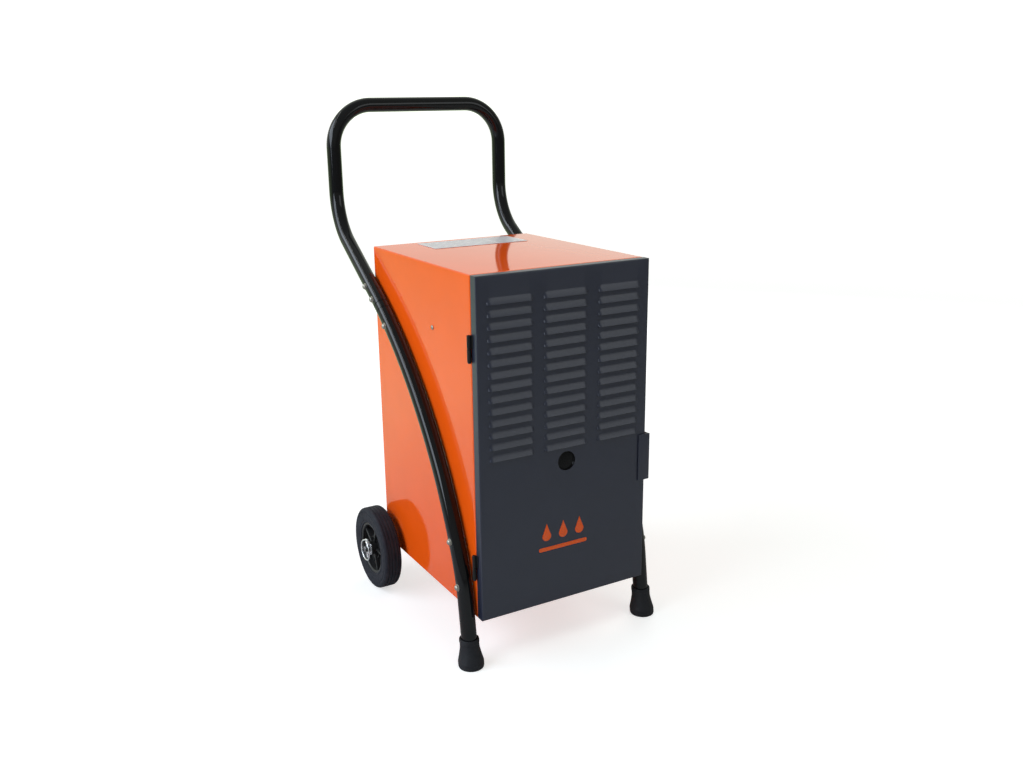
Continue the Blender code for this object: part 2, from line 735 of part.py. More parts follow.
def make_magnet():
    """The block that holds the door shut, behind the front flange, with a nose through to the door."""
    x = (SIDE - 0.046, SIDE - 0.026)
    y = (CABINET_FRONT + SHEET + GAP, CABINET_FRONT + 0.016)
    z = (TOP - 0.021, TOP - SHEET - 0.001)
    magnet = part("door_magnet", box("door_magnet", x, y, z, 0.001, "Z"), bpy.data.materials["black_plastic"])
    nose_y = (DOOR_DEPTH + 0.0008, y[0] + 0.002)
    join(magnet, box("magnet_nose", inset(x, 0.003), nose_y, (TOP - 0.019, TOP - FRONT_FLANGE - 0.0005)))


def louver_shape(rise, height, length, depth):
    """A wedge, with sloping ends, that stands out towards its lower edge and reaches depth behind the sheet."""
    shape = bmesh.new()
    outline = [(0, height), (-rise, height * 0.28), (-rise, 0), (depth, 0), (depth, height)]
    mesh = extruded("louver", outline, length)
    shape.from_mesh(mesh)
    for corner in shape.verts:
        if corner.co.x < -0.0001:
            corner.co.z *= 1 - 2 * rise / length
    made = finish_mesh("louver", shape)
    made.transform(Matrix.Rotation(math.pi / 2, 4, "Y") @ Matrix.Rotation(math.pi / 2, 4, "Z"))
    return made


def add_louvers(door):
    """Hoods pressed out of the door, each open below and cut through behind."""
    hood = louver_shape(LOUVER_RISE, LOUVER_HEIGHT, LOUVER_LENGTH, SHEET * 0.5)
    void = louver_shape(LOUVER_RISE - SHEET, LOUVER_HEIGHT - 0.0015, LOUVER_LENGTH - 2 * SHEET, 0.004)
    hoods, voids = [], []
    for x in LOUVER_COLUMNS:
        for row in range(LOUVER_ROWS):
            z = LOUVER_FIRST - row * LOUVER_PITCH
            hoods.append(moved(hood, (x, 0, z)))
            voids.append(moved(void, (x, 0, z - 0.0010)))
    join(door, merged("louver_hoods", hoods))
    cut(door, merged("louver_voids", voids))


def make_sight_window(place, door):
    """A black lens with a flange behind the door's hole."""
    smoked = material("smoked_lens", (0.006, 0.007, 0.008), 0.12)
    body, flange = SIGHT_RADIUS - GAP, SIGHT_RADIUS + 0.004
    profile = [
        (0, 0.0045),
        (flange, 0.0045),
        (flange, SHEET + GAP),
        (body, SHEET + GAP),
        (body, 0.0004),
        (body - 0.0014, -0.0002),
        (body - 0.0018, 0.0010),
        (0, 0.0010),
    ]
    mesh = turned("sight_window", profile, steps=24, axis="Y")
    window = part("sight_window", mesh, smoked, origin=place, built_at_origin=True)
    keep_at_rest(window, door)


def keep_at_rest(obj, parent):
    """Hangs a piece on the door, whose origin is its hinge axis, without moving it."""
    obj.parent = parent
    obj.location = Vector(obj.location) - Vector(parent.location)


def add_door_pull(door, finish):
    """A flat strip on the door's face that reaches past its free edge and folds back beside it."""
    front, end = -0.0024 - GAP, SIDE + PULL_REACH
    strip = box("door_pull", (SIDE - 0.0160, end), (front, -GAP), PULL_HEIGHT, 0.0008, None, 1)
    pull = part("door_pull", strip, finish)
    lip = box("pull_lip", (end - 0.0022, end), (front + 0.0004, 0.0125), inset(PULL_HEIGHT, 0.001))
    join(pull, lip)
    keep_at_rest(pull, door)


def make_filter(door):
    """A framed filter mat clipped behind the louvers."""
    mat_black = material("filter_foam", (0.016, 0.016, 0.017), 0.95)
    low, high = LOUVER_FIRST - (LOUVER_ROWS - 1) * LOUVER_PITCH - 0.010, LOUVER_FIRST + 0.022
    frame_x = (-0.158, 0.158)
    mesh = box("air_filter", frame_x, (0.0062, 0.0145), (low, high), 0.003, "Y")
    mat = part("air_filter", mesh, mat_black)
    recesses = []
    for i in range(3):
        x_low = frame_x[0] + 0.008 + i * 0.102
        recesses.append(box("recess", (x_low, x_low + 0.094), (0.0105, 0.02), (low + 0.008, high - 0.008)))
    cut(mat, merged("filter_recesses", recesses))
    keep_at_rest(mat, door)


def make_hinges(door):
    """Lift-off hinges at the left seam: a lower knuckle on the cabinet and an upper one on the door."""
    steel_black = material("black_steel", (0.010, 0.010, 0.012), 0.35)
    for name, height in HINGE_HEIGHTS.items():
        axis_point = (*HINGE_AXIS, height)
        low, high = -HINGE_LENGTH / 2, HINGE_LENGTH / 2
        fixed = make_hinge_half(f"hinge_{name}_cabinet", height, (low, -GAP), steel_black)
        hanging = make_hinge_half(f"hinge_{name}_door", height, (GAP, high), steel_black, on_door=True)
        for half in (fixed, hanging):
            bore = cylinder("pin_hole", HINGE_PIN_RADIUS + GAP, low - 0.002, high - 0.002, sides=10)
            cut(half, bore, location=axis_point)
        keep_at_rest(hanging, door)
        profile = [
            (0, high - 0.003),
            (HINGE_PIN_RADIUS, high - 0.003),
            (HINGE_PIN_RADIUS, low - GAP),
            (0.0028, low - GAP),
            (0.0028, low - 0.0018),
            (0, low - 0.0018),
        ]
        pin = turned(f"hinge_{name}_pin", profile, steps=10)
        zinc = bpy.data.materials["zinc_steel"]
        part(f"hinge_{name}_pin", pin, zinc, origin=axis_point, built_at_origin=True)


def make_hinge_half(name, height, limits, finish, on_door=False):
    """A knuckle round the pin, with a leaf that turns onto the cabinet's side or the door's edge."""
    leaf_y = (DOOR_DEPTH - 0.0024, DOOR_DEPTH - 0.0004) if on_door else (CABINET_FRONT + 0.0006, 0.0212)
    plate_y = (DOOR_DEPTH - 0.0065, DOOR_DEPTH - 0.0010) if on_door else (0.0200, 0.0290)
    leaf_z = (height + limits[0], height + limits[1])
    surface = -SIDE - GAP
    knuckle = cylinder("knuckle", HINGE_RADIUS, *limits, sides=14)
    half = part(name, knuckle, finish, origin=(*HINGE_AXIS, height), built_at_origin=True)
    join(half, box("leaf", (HINGE_AXIS[0], surface), leaf_y, leaf_z))
    join(half, box("leaf_plate", (surface - 0.0010, surface), plate_y, leaf_z))
    return half


# Inside ---------------------------------------------------------------------------------


def make_coil(name, y, finish, bend_side):
    """A block of fins with end plates and the tube's return bends on one side."""
    fins = box(name, (-COIL_X + 0.003, COIL_X - 0.003), inset(y, 0.0015), inset(COIL_Z, 0.002))
    coil = part(name, fins, finish)
    for x in (-COIL_X, COIL_X - 0.0015):
        join(coil, box("end_plate", (x, x + 0.0015), y, COIL_Z))
    join(coil, box("fin_ends", (-COIL_X + 0.001, COIL_X - 0.001), inset(y, 0.006), inset(COIL_Z, 0.004)))
    bends = []
    middle = (y[0] + y[1]) / 2
    for i in range(COIL_BENDS):
        height = COIL_Z[0] + 0.034 + i * (COIL_Z[1] - COIL_Z[0] - 0.090) / (COIL_BENDS - 1)
        for offset in (-0.011, 0.011):
            loop = []
            for z, x in ring_of_points(0.011, 5, start=0, sweep=180):
                loop.append((bend_side * (COIL_X - 0.004 + x), middle + offset, height + z))
            foot = bend_side * (COIL_X - 0.010)
            first, last = loop[0], loop[-1]
            line = [(foot, first[1], first[2]), *loop, (foot, last[1], last[2])]
            bends.append(swept("bend", line, 0.0042, 1))
    join(coil, merged("coil_bends", bends))
    return coil


def make_air_path():
    fin_aluminium = material("fin_aluminium", (0.66, 0.67, 0.68), 0.35, 1.0)
    galvanised = bpy.data.materials["galvanised_steel"]
    make_coil("evaporator_coil", EVAPORATOR_Y, fin_aluminium, 1)
    make_coil("condenser_coil", CONDENSER_Y, fin_aluminium, -1)
    make_shroud(galvanised)
    make_fan()
    make_drip_tray()


def make_shroud(finish):
    """The wall behind the coils, with a round orifice and a rolled ring round the fan."""
    x = inset(INNER_X, 0.002)
    centre_x, _, centre_z = FAN_CENTRE
    opening = [(u + centre_x, v) for u, v in ring_of_points(FAN_RADIUS + 0.004, 28)]
    low, high = 0.352 - centre_z, TOP - 0.006 - centre_z
    outline = [(x[0], low), (x[1], low), (x[1], high), (x[0], high)]
    wall = extruded("fan_shroud", outline, 0.0012, [opening])
    wall.transform(Matrix.Rotation(math.pi / 2, 4, "X"))
    wall.transform(Matrix.Translation((0, SHROUD_Y, centre_z)))
    shroud = part("fan_shroud", wall, finish)
    inner = FAN_RADIUS + 0.004
    outer, ring_low, ring_high = inner + 0.0015, -0.0003, 0.046
    ring = [(inner, ring_high), (outer, ring_high), (outer, ring_low), (inner, ring_low), (inner, ring_high)]
    join(shroud, turned("fan_ring", ring, steps=28, axis="Y"), location=(centre_x, SHROUD_Y, centre_z))


def make_fan():
    blade_plastic = material("fan_plastic", (0.10, 0.10, 0.105), 0.5)
    motor_steel = material("motor_steel", (0.30, 0.30, 0.31), 0.4, 1.0)
    profile = [
        (0, 0.002),
        (0.006, 0.002),
        (0.006, 0.014),
        (0.029, 0.014),
        (0.029, -0.009),
        (0.024, -0.014),
        (0, -0.014),
    ]
    cap = turned("fan_rotor", profile, steps=20, axis="Y")
    rotor = part("fan_rotor", cap, blade_plastic, origin=FAN_CENTRE, built_at_origin=True)
    for i in range(FAN_BLADES):
        root = ring_of_points(0.026, 3, start=-16, sweep=32)
        tip = ring_of_points(FAN_RADIUS - 0.003, 5, start=30, sweep=-50)
        blade = extruded("blade", root + tip, 0.0022)
        blade.transform(Matrix.Rotation(math.radians(14), 4, "X"))
        blade.transform(Matrix.Rotation(2 * math.pi * i / FAN_BLADES, 4, "Z"))
        blade.transform(Matrix.Rotation(math.pi / 2, 4, "X"))
        join(rotor, blade, location=FAN_CENTRE)
    make_fan_motor(motor_steel)


def make_fan_motor(finish):
    """A can behind the rotor with a shaft into its hub, on a bar bracket bolted to the shroud."""
    x, y, z = FAN_CENTRE
    can_front = 0.018
    profile = [
        (0, can_front + 0.062),
        (0.030, can_front + 0.062),
        (0.040, can_front + 0.054),
        (0.040, can_front + 0.004),
        (0.036, can_front),
        (0.0035, can_front),
        (0.0035, 0.0045),
        (0, 0.0045),
    ]
    mesh = turned("fan_motor", profile, steps=20, axis="Y")
    motor = part("fan_motor", mesh, finish, origin=FAN_CENTRE, built_at_origin=True)
    bar_y = (y + can_front + 0.012, y + can_front + 0.015)
    join(motor, box("motor_bar", (x - 0.132, x + 0.132), bar_y, (z - 0.009, z + 0.009)))
    for side in (-1, 1):
        leg_x = (x + side * 0.132 - 0.0015, x + side * 0.132 + 0.0015)
        join(motor, box("motor_leg", leg_x, (SHROUD_Y + 0.0012, bar_y[1] - 0.0005), (z - 0.009, z + 0.009)))


def make_drip_tray():
    """A shallow tray under the coils that drains into the tank through a spout."""
    tray_plastic = material("grey_plastic", (0.16, 0.165, 0.17), 0.5)
    x, wall, low = (-0.146, 0.146), 0.0025, TRAY_Z[0]
    tray = part("drip_tray", box("drip_tray", x, TRAY_Y, TRAY_Z, 0.004, "Z"), tray_plastic)
    cut(tray, box("tray_hollow", inset(x, wall), inset(TRAY_Y, wall), (low + wall, TRAY_Z[1] + 0.01)))
    join(tray, cylinder("spout", 0.009, low - 0.012, low + 0.001, at=(*SPOUT, 0), sides=14))
    cut(tray, cylinder("spout_bore", 0.0065, low - 0.02, low + 0.01, at=(*SPOUT, 0), sides=14))


def make_compressor():
    """A welded steel can on three rubber feet with its terminal cover, and the pipe to the coils."""
    shell = material("compressor_black", (0.02, 0.02, 0.022), 0.3)
    copper = material("copper_pipe", (0.72, 0.33, 0.20), 0.3, 1.0)
    x, y = COMPRESSOR
    foot = BASE_FLOOR + 0.0015 + GAP
    height = COMPRESSOR_HEIGHT
    profile = [
        (0, height),
        (0.030, height - 0.003),
        (0.052, height - 0.018),
        (0.060, height - 0.040),
        (0.060, 0.040),
        (0.046, 0.018),
        (0, 0.012),
    ]
    place = (x, y, foot)
    mesh = turned("compressor", profile, steps=22)
    compressor = part("compressor", mesh, shell, origin=place, built_at_origin=True)
    for corner in range(3):
        turn = math.radians(90 + 120 * corner)
        at = (0.070 * math.cos(turn), 0.070 * math.sin(turn), 0)
        join(compressor, cylinder("mount", 0.010, 0, 0.022, at=at, sides=12), location=place)
        arm = box("arm", (0.030, 0.076), (-0.010, 0.010), (0.014, 0.018))
        arm.transform(Matrix.Rotation(turn, 4, "Z"))
        join(compressor, arm, location=place)
    cover = box("terminal_cover", (0.048, 0.078), (-0.020, 0.020), (0.085, 0.130), 0.003, "X")
    join(compressor, cover, location=place)
    make_pipe(foot + height + GAP, copper)


def make_pipe(top, finish):
    """The suction line, from the compressor's top round to the coils."""
    x, y = COMPRESSOR
    route = [
        Vector((x - 0.010, y, top + 0.0012)),
        Vector((x - 0.010, y, top + 0.020)),
        Vector((x - 0.016, y - 0.010, top + 0.034)),
        Vector((x - 0.040, y - 0.030, top + 0.042)),
        Vector((x - 0.110, y - 0.050, top + 0.048)),
        Vector((PIPE_X - 0.004, y - 0.066, top + 0.054)),
        Vector((PIPE_X, y - 0.080, top + 0.062)),
        Vector((PIPE_X, SHROUD_Y + 0.030, 0.384)),
    ]
    part("refrigerant_pipe", swept("refrigerant_pipe", smooth_line(route, 3), 0.004, 2), finish)


def smooth_line(points, steps):
    """Points along a Catmull-Rom curve through the given ones."""
    padded = [2 * points[0] - points[1], *points, 2 * points[-1] - points[-2]]
    line = []
    for a, b, c, d in zip(padded, padded[1:], padded[2:], padded[3:]):
        for i in range(steps):
            t = i / steps
            square, cube = 2 * a - 5 * b + 4 * c - d, 3 * b - a - 3 * c + d
            line.append(0.5 * (2 * b + (c - a) * t + square * t**2 + cube * t**3))
    line.append(points[-1])
    return line


def make_tank():
    """An open tank with a rim, and a loop handle on its front."""
    tank_plastic = material("tank_plastic", (0.55, 0.57, 0.58), 0.35)
    float_plastic = material("float_plastic", (0.70, 0.05, 0.03), 0.4)
    rim_z = (TANK_Z[1] - 0.006, TANK_Z[1])
    body_z = (TANK_Z[0], TANK_Z[1] - 0.003)
    tank = part("water_tank", box("water_tank", TANK_X, TANK_Y, body_z, 0.012, "Z"), tank_plastic)
    rim = box("tank_rim", inset(TANK_X, -0.003), inset(TANK_Y, -0.003), rim_z, 0.013, "Z")
    join(tank, rim)
    hollow_x, hollow_y = inset(TANK_X, TANK_WALL), inset(TANK_Y, TANK_WALL)
    hollow_z = (TANK_Z[0] + TANK_WALL, TANK_Z[1] + 0.01)
    cut(tank, box("tank_hollow", hollow_x, hollow_y, hollow_z, 0.010, "Z"))
    middle = (TANK_X[0] + TANK_X[1]) / 2
    front, grip_y = TANK_Y[0] + 0.0013, TANK_Y[0] - 0.017
    half_grip = [(0.048, grip_y), (0.055, grip_y + 0.008), (0.055, front)]
    right = [Vector((middle + x, y, GRIP_HEIGHT)) for x, y in half_grip]
    left = [Vector((middle - x, y, GRIP_HEIGHT)) for x, y in reversed(half_grip)]
    join(tank, swept("tank_grip", left + right, 0.0055, 3))
    make_float_arm(tank, float_plastic)


def make_float_arm(tank, finish):
    """A float that hangs inside the tank on an arm, between two lugs of the tank's rear wall."""
    x, y, z = FLOAT_PIVOT
    for side in (-1, 1):
        lug_x = sorted((x + side * 0.0045, x + side * 0.0075))
        join(tank, box("lug", lug_x, (y - 0.004, TANK_Y[1] - 0.001), (z - 0.005, z + 0.005)))
    cut(tank, cylinder("lug_bore", 0.0022 + GAP, -0.009, 0.009, "X", sides=10), location=FLOAT_PIVOT)
    arm = box("float_arm", (x - 0.003, x + 0.003), (y - 0.050, y + 0.003), (z - 0.003, z + 0.003))
    float_arm = part("float_arm", arm, finish, origin=FLOAT_PIVOT)
    float_limits = (x - 0.016, x + 0.016), (y - 0.082, y - 0.046), (z - 0.009, z + 0.007)
    join(float_arm, box("float", *float_limits, 0.003, None, 1))
    join(float_arm, cylinder("float_axle", 0.0022, -0.0088, 0.0088, "X", sides=10), location=FLOAT_PIVOT)


# Controls -------------------------------------------------------------------------------


def make_controls():
    """A plastic panel on the back with a rocker switch and a dial, and the mains inlet below."""
    panel_plastic = bpy.data.materials["black_plastic"]
    knob_plastic = material("knob_plastic", (0.03, 0.03, 0.032), 0.4)
    y = (CABINET_REAR + GAP, CABINET_REAR + 0.003)
    panel = part("control_panel", box("control_panel", PANEL_X, y, PANEL_Z, 0.0012, None, 1), panel_plastic)
    back_x, back_z = inset(PANEL_X, 0.0085), inset(PANEL_Z, 0.0085)
    join(panel, box("panel_back", back_x, (CABINET_REAR - 0.022, y[1] - 0.001), back_z))
    meter = box("meter", (0.045, 0.092), (CABINET_REAR + 0.002, y[1] + 0.002), (0.618, 0.642), 0.0012, "Y", 1)
    join(panel, meter)
    socket_x = (SWITCH[0] - 0.0155, SWITCH[0] + 0.0155)
    socket_z = (SWITCH[1] - 0.0115, SWITCH[1] + 0.0115)
    cut(panel, box("switch_socket", socket_x, (CABINET_REAR - 0.012, y[1] + 0.01), socket_z))
    knob_at = (KNOB[0], y[1] + 0.0004, KNOB[1])
    cut(panel, cylinder("knob_socket", 0.0035, -0.012, 0.01, "Y", sides=12), location=knob_at)
    make_switch(y[1])
    make_knob(knob_at, knob_plastic)
    make_cord_inlet(panel_plastic)


def make_switch(face):
    """A rocker across the panel's socket, at rest with its end nearer +X pressed in."""
    switch_red = material("switch_red", (0.45, 0.015, 0.01), 0.3)
    pivot = (SWITCH[0], face - 0.0035, SWITCH[1])
    outline = [(-0.0140, -0.002), (0.0140, -0.002), (0.0145, 0.0050), (0, 0.0034), (-0.0145, 0.0050)]
    mesh = extruded("power_switch", outline, 0.021)
    mesh.transform(Matrix.Rotation(-math.radians(SWITCH_TILT), 4, "Z"))
    part("power_switch", mesh, switch_red, origin=pivot, built_at_origin=True)


def make_knob(place, finish):
    """A dial on a spindle in the panel, with a raised pointer."""
    profile = [
        (0, 0.015),
        (0.0105, 0.015),
        (0.0120, 0.0135),
        (0.0135, 0.001),
        (0.0030, 0.001),
        (0.0030, -0.008),
        (0, -0.008),
    ]
    mesh = turned("hygrostat_knob", profile, steps=20, axis="Y")
    knob = part("hygrostat_knob", mesh, finish, origin=place, built_at_origin=True)
    pointer = box("pointer", (-0.0016, 0.0016), (0.010, 0.0168), (-0.001, 0.0118))
    pointer.transform(Matrix.Rotation(math.radians(KNOB_OFF_ANGLE), 4, "Y"))
    join(knob, pointer, location=place)


def make_cord_inlet(finish):
    """The flanged bush that the mains cord comes out of."""
    x, z = CORD_INLET
    profile = [
        (0.0062, 0.012),
        (0.0085, 0.012),
        (0.0125, 0.002),
        (0.0125, GAP),
        (0.0082, GAP),
        (0.0082, -0.008),
        (0.0062, -0.008),
        (0.0062, 0.012),
    ]
    mesh = turned("cord_inlet", profile, steps=16, axis="Y")
    part("cord_inlet", mesh, finish, origin=(x, CABINET_REAR, z), built_at_origin=True)


make_frame()
make_wheels()
make_cabinet()
make_door()
make_air_path()
make_compressor()
make_tank()
make_controls()
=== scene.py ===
import json
import math

import bmesh
import bpy
from mathutils import Matrix, Vector


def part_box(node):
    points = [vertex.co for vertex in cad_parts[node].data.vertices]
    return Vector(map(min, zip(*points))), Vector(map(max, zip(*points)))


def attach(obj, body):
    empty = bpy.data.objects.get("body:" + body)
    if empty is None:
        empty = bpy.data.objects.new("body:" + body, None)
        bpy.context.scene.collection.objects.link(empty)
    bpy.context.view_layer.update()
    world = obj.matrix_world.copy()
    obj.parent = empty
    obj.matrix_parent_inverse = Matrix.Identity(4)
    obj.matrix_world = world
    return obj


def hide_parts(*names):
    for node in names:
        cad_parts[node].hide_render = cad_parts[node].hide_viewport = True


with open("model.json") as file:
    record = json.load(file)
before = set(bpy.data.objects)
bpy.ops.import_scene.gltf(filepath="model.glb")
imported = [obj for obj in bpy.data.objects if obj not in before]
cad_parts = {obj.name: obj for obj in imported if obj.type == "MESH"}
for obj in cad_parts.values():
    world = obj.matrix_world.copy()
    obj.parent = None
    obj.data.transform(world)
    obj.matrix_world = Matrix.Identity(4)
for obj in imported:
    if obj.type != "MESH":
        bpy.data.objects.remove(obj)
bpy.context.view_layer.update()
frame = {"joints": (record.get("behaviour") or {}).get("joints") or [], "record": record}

# A wheeled condensation dehumidifier: the looks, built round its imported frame. Everything is in
# metres in the frame's own axes: +Z is up, and the door faces -Y.

# Driving dimensions ---------------------------------------------------------------------

GAP = 0.0003  # between pieces that touch
SHEET = 0.0012  # folded steel sheet
BEND = 0.0022  # outer radius of the sheet's folds
TINY = 1e-6  # lengths less than this apart are the same

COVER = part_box("cabinet_cover")
SIDE = COVER[1].x
BOTTOM = COVER[0].z
TOP = COVER[1].z
COVER_FRONT = COVER[0].y
COVER_REAR = COVER[1].y
FLANGE = 0.012

LOUVER_COLUMNS = (-0.108, -0.0015, 0.107)
LOUVER_ROWS = 14
LOUVER_PITCH = 0.02035
LOUVER_FIRST = 0.6415  # the top row's open lower edge
LOUVER_LENGTH = 0.086
LOUVER_HEIGHT = 0.012
LOUVER_RISE = 0.0045
LOUVER_END = 0.0065  # how far in from its end a louver reaches its full rise
LOUVER_CORNER = 0.008  # rounding of its upper corners
LOUVER_STEPS = 9
LOUVER_END_STEPS = 11

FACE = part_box("front_door")[0].y + LOUVER_RISE  # the plane of the door's face
DOOR_DEPTH = 0.017

TUBE_RADIUS = 0.014
TUBE_X = SIDE + 0.0155
ARCH_CENTRE = (FACE + 0.837, -0.093)
ARCH_RADIUS = 0.8365
ARCH_LOW_ANGLE = 19.8
ARCH_HIGH_ANGLE = 57.0
FOOT_BEND_RADIUS = 0.350
FOOT_LEAN = 7.5
JOINT_ANGLE = 54.5
COLLAR_ANGLE = 1.1
HANDLE_REAR = FACE + 0.5575
HANDLE_TOP = 0.9485
HANDLE_BEND_RADIUS = 0.115
HANDLE_CORNER_RADIUS = 0.080
DIMPLE = 0.0018  # how far a bolt presses the tube in
DIMPLE_SPREAD = 0.009
BOLT_RADIUS = 0.003
TUBE_END = 0.0085  # height of the tube's end, inside the foot

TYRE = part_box("wheel_tyre_right")
WHEEL_Y = (TYRE[0].y + TYRE[1].y) / 2
WHEEL_Z = (TYRE[0].z + TYRE[1].z) / 2
WHEEL_RADIUS = (TYRE[1].z - TYRE[0].z) / 2
WHEEL_HALF = (TYRE[1].x - TYRE[0].x) / 2
WHEEL_X = TYRE[1].x - WHEEL_HALF
RIM_RADIUS = 0.052
BOSS_RADIUS = 0.0135
AXLE_RADIUS = 0.006
SPOKES = 5
HUB_TURN = 18
SIDES = {"left": -1, "right": 1}

WINDOW_RADIUS = 0.0175  # the sight window's hole
BLADES = 5

# Light levels of the studio, where 1 is white, and its colours
WALL = 0.28
BACKDROP = 0.92
AMBIENT = 0.20
FLOOR_ALBEDO = 0.62
FLOOR_GLOW = 0.60
FLOOR_GLOW_FAR = 0.90
FLOOR_GLOW_REAR = 0.50
FLOOR_GLOW_REAR_COLOR = (0.70, 1.0, 0.44, 1)
FLOOR_NEAR_AND_FAR = (0.8, 5.0)  # distances from the machine
FLOOR_REAR_EDGE = (0.3, 1.2)  # from where the floor glows in reflections, along +Y
WALL_TO_BACKDROP = (-0.1, 0.7)  # the view direction's Y where one becomes the other
CAMERA_BACKDROP = 1.4
STUDIO_COLOR = (0.955, 1.0, 0.90, 1)
WINDOW_TILT = -27

CAMERA_PLACE = (-0.8884, -1.6555, 0.9520)
CAMERA_TURNS = (29.68, 15.78, 0.74)  # yaw, pitch and roll
CAMERA_LENS = 35.18  # mm, on a 36 mm sensor

BODY_OF = {
    node: body
    for body, nodes in frame["record"]["behaviour"]["bodies"].items()
    for node in nodes
}
JOINT_AT = {j["name"]: Vector(j["pos_m"]) for j in frame["joints"] if "pos_m" in j}


def extent(node):
    """A CAD node's limits along x, y and z."""
    return tuple(zip(*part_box(node)))


def middle(node):
    low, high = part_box(node)
    return (low + high) / 2


# Mesh tools -----------------------------------------------------------------------------

FACING = {
    "X": Matrix(((0, 0, 1, 0), (1, 0, 0, 0), (0, 1, 0, 0), (0, 0, 0, 1))),
    "Y": Matrix(((1, 0, 0, 0), (0, 0, -1, 0), (0, 1, 0, 0), (0, 0, 0, 1))),
    "Z": Matrix.Identity(4),
}
LATHE_AXIS = {
    "X": Matrix.Rotation(math.pi / 2, 4, "Y"),
    "Y": Matrix.Rotation(-math.pi / 2, 4, "X"),
    "Z": Matrix.Identity(4),
}


def to_mesh(shape, outward=True):
    """A mesh from a bmesh, smooth except over its sharp edges, with its faces outward unless told not to."""
    bmesh.ops.remove_doubles(shape, verts=shape.verts, dist=TINY)
    if outward:
        bmesh.ops.recalc_face_normals(shape, faces=shape.faces)
    mesh = bpy.data.meshes.new("mesh")
    shape.to_mesh(mesh)
    shape.free()
    return smoothed(mesh)


def smoothed(mesh, angle=32):
    """Smooth shading, except over edges that turn by more than the angle."""
    mesh.shade_smooth()
    mesh.set_sharp_from_angle(angle=math.radians(angle))
    return mesh


def held(data, prepare=None):
    """The final mesh of a curve, or of a mesh once prepare has added modifiers to its object."""
    obj = bpy.data.objects.new("held", data)
    bpy.context.scene.collection.objects.link(obj)
    if prepare:
        prepare(obj)
    bpy.context.view_layer.update()
    graph = bpy.context.evaluated_depsgraph_get()
    mesh = bpy.data.meshes.new_from_object(obj.evaluated_get(graph))
    bpy.data.objects.remove(obj)
    return mesh


def thickened(mesh, thickness):
    """A sheet given its thickness behind the face that the mesh draws."""

    def prepare(obj):
        wall = obj.modifiers.new("Wall", "SOLIDIFY")
        wall.thickness = thickness
        wall.offset = -1
        wall.use_even_offset = True

    return smoothed(held(mesh, prepare))


def carved(mesh, *cutters, operation="DIFFERENCE"):
    """The mesh with the cutters taken away, or joined on."""
    helpers = []

    def prepare(obj):
        for cutter in cutters:
            helper = bpy.data.objects.new("cutter", cutter)
            bpy.context.scene.collection.objects.link(helper)
            helpers.append(helper)
            boolean = obj.modifiers.new("Carve", "BOOLEAN")
            boolean.operation = operation
            boolean.solver = "EXACT"
            boolean.object = helper

    mesh = held(mesh, prepare)
    for helper in helpers:
        bpy.data.objects.remove(helper)
    return smoothed(mesh)


def merged(*meshes):
    """Several bodies in one mesh."""
    shape = bmesh.new()
    for mesh in meshes:
        shape.from_mesh(mesh)
    made = bpy.data.meshes.new("merged")
    shape.to_mesh(made)
    shape.free()
    return smoothed(made)


def moved(mesh, matrix):
    """A copy of the mesh, moved by a matrix or an offset."""
    made = mesh.copy()
    made.transform(matrix if isinstance(matrix, Matrix) else Matrix.Translation(matrix))
    return made


def block(x, y, z, radius=0.0008, segments=3, along="XYZ"):
    """A box with its edges rounded, or only those along the named axes."""
    shape = bmesh.new()
    size = [high - low for low, high in (x, y, z)]
    centre = [(low + high) / 2 for low, high in (x, y, z)]
    bmesh.ops.create_cube(shape, size=1, matrix=Matrix.Translation(centre) @ Matrix.Diagonal((*size, 1)))
    edges = [edge for edge in shape.edges if long_axis(edge) in along]
    bmesh.ops.bevel(shape, geom=edges, offset=radius, segments=segments, profile=0.5, affect="EDGES")
    return to_mesh(shape)


def long_axis(edge):
    along = edge.verts[0].co - edge.verts[1].co
    return "XYZ"[max(range(3), key=lambda i: abs(along[i]))]


def inset(limits, by):
    return (limits[0] + by, limits[1] - by)


def about(centre, reach):
    return (centre - reach, centre + reach)


def lathe(profile, axis, centre=(0, 0, 0), sides=48, flip=False):
    """A turned mesh. The profile is (radius, distance along the axis), and flip turns it end for end."""
    shape = bmesh.new()
    line = [shape.verts.new((radius, 0, -height if flip else height)) for radius, height in profile]
    edges = [shape.edges.new(pair) for pair in zip(line, line[1:])]
    bmesh.ops.spin(shape, geom=line + edges, axis=(0, 0, 1), angle=2 * math.pi, steps=sides, use_merge=True)
    shape.transform(Matrix.Translation(centre) @ LATHE_AXIS[axis])
    return to_mesh(shape)


def arc(centre, radius, start, end, steps):
    """Points on an arc, both ends included, with angles in degrees."""
    angles = [math.radians(start + (end - start) * i / steps) for i in range(steps + 1)]
    return [(centre[0] + radius * math.cos(a), centre[1] + radius * math.sin(a)) for a in angles]


def rounded_outline(x, z, radius, steps=6):
    """A rectangle with rounded corners, as a closed line."""
    left, right = inset(x, radius)
    low, high = inset(z, radius)
    corners = (((right, high), 0), ((left, high), 90), ((left, low), 180), ((right, low), 270))
    return [point for centre, start in corners for point in arc(centre, radius, start, start + 90, steps)]


def circle(radius, sides, centre=(0, 0)):
    """A closed outline with that many sides."""
    return arc(centre, radius, 0, 360 - 360 / sides, sides - 1)


def quarter_turn(steps):
    return [math.pi / 2 * i / steps for i in range(steps + 1)]


def dome(radius, height, base, steps):
    """A dome's profile, from its top down to its rim."""
    return [(radius * math.cos(a), base + height * math.sin(a)) for a in reversed(quarter_turn(steps))]


def both_ways(profile):
    """A profile and its mirror image about the middle, as one line."""
    return [*profile, *((radius, -height) for radius, height in reversed(profile))]


def ring(profile, centre=(0, 0, 0), sides=48, axis="X"):
    """A turned ring across an axis, from the half of its section on one side of the middle."""
    return lathe([*both_ways(profile), profile[0]], axis, centre, sides)


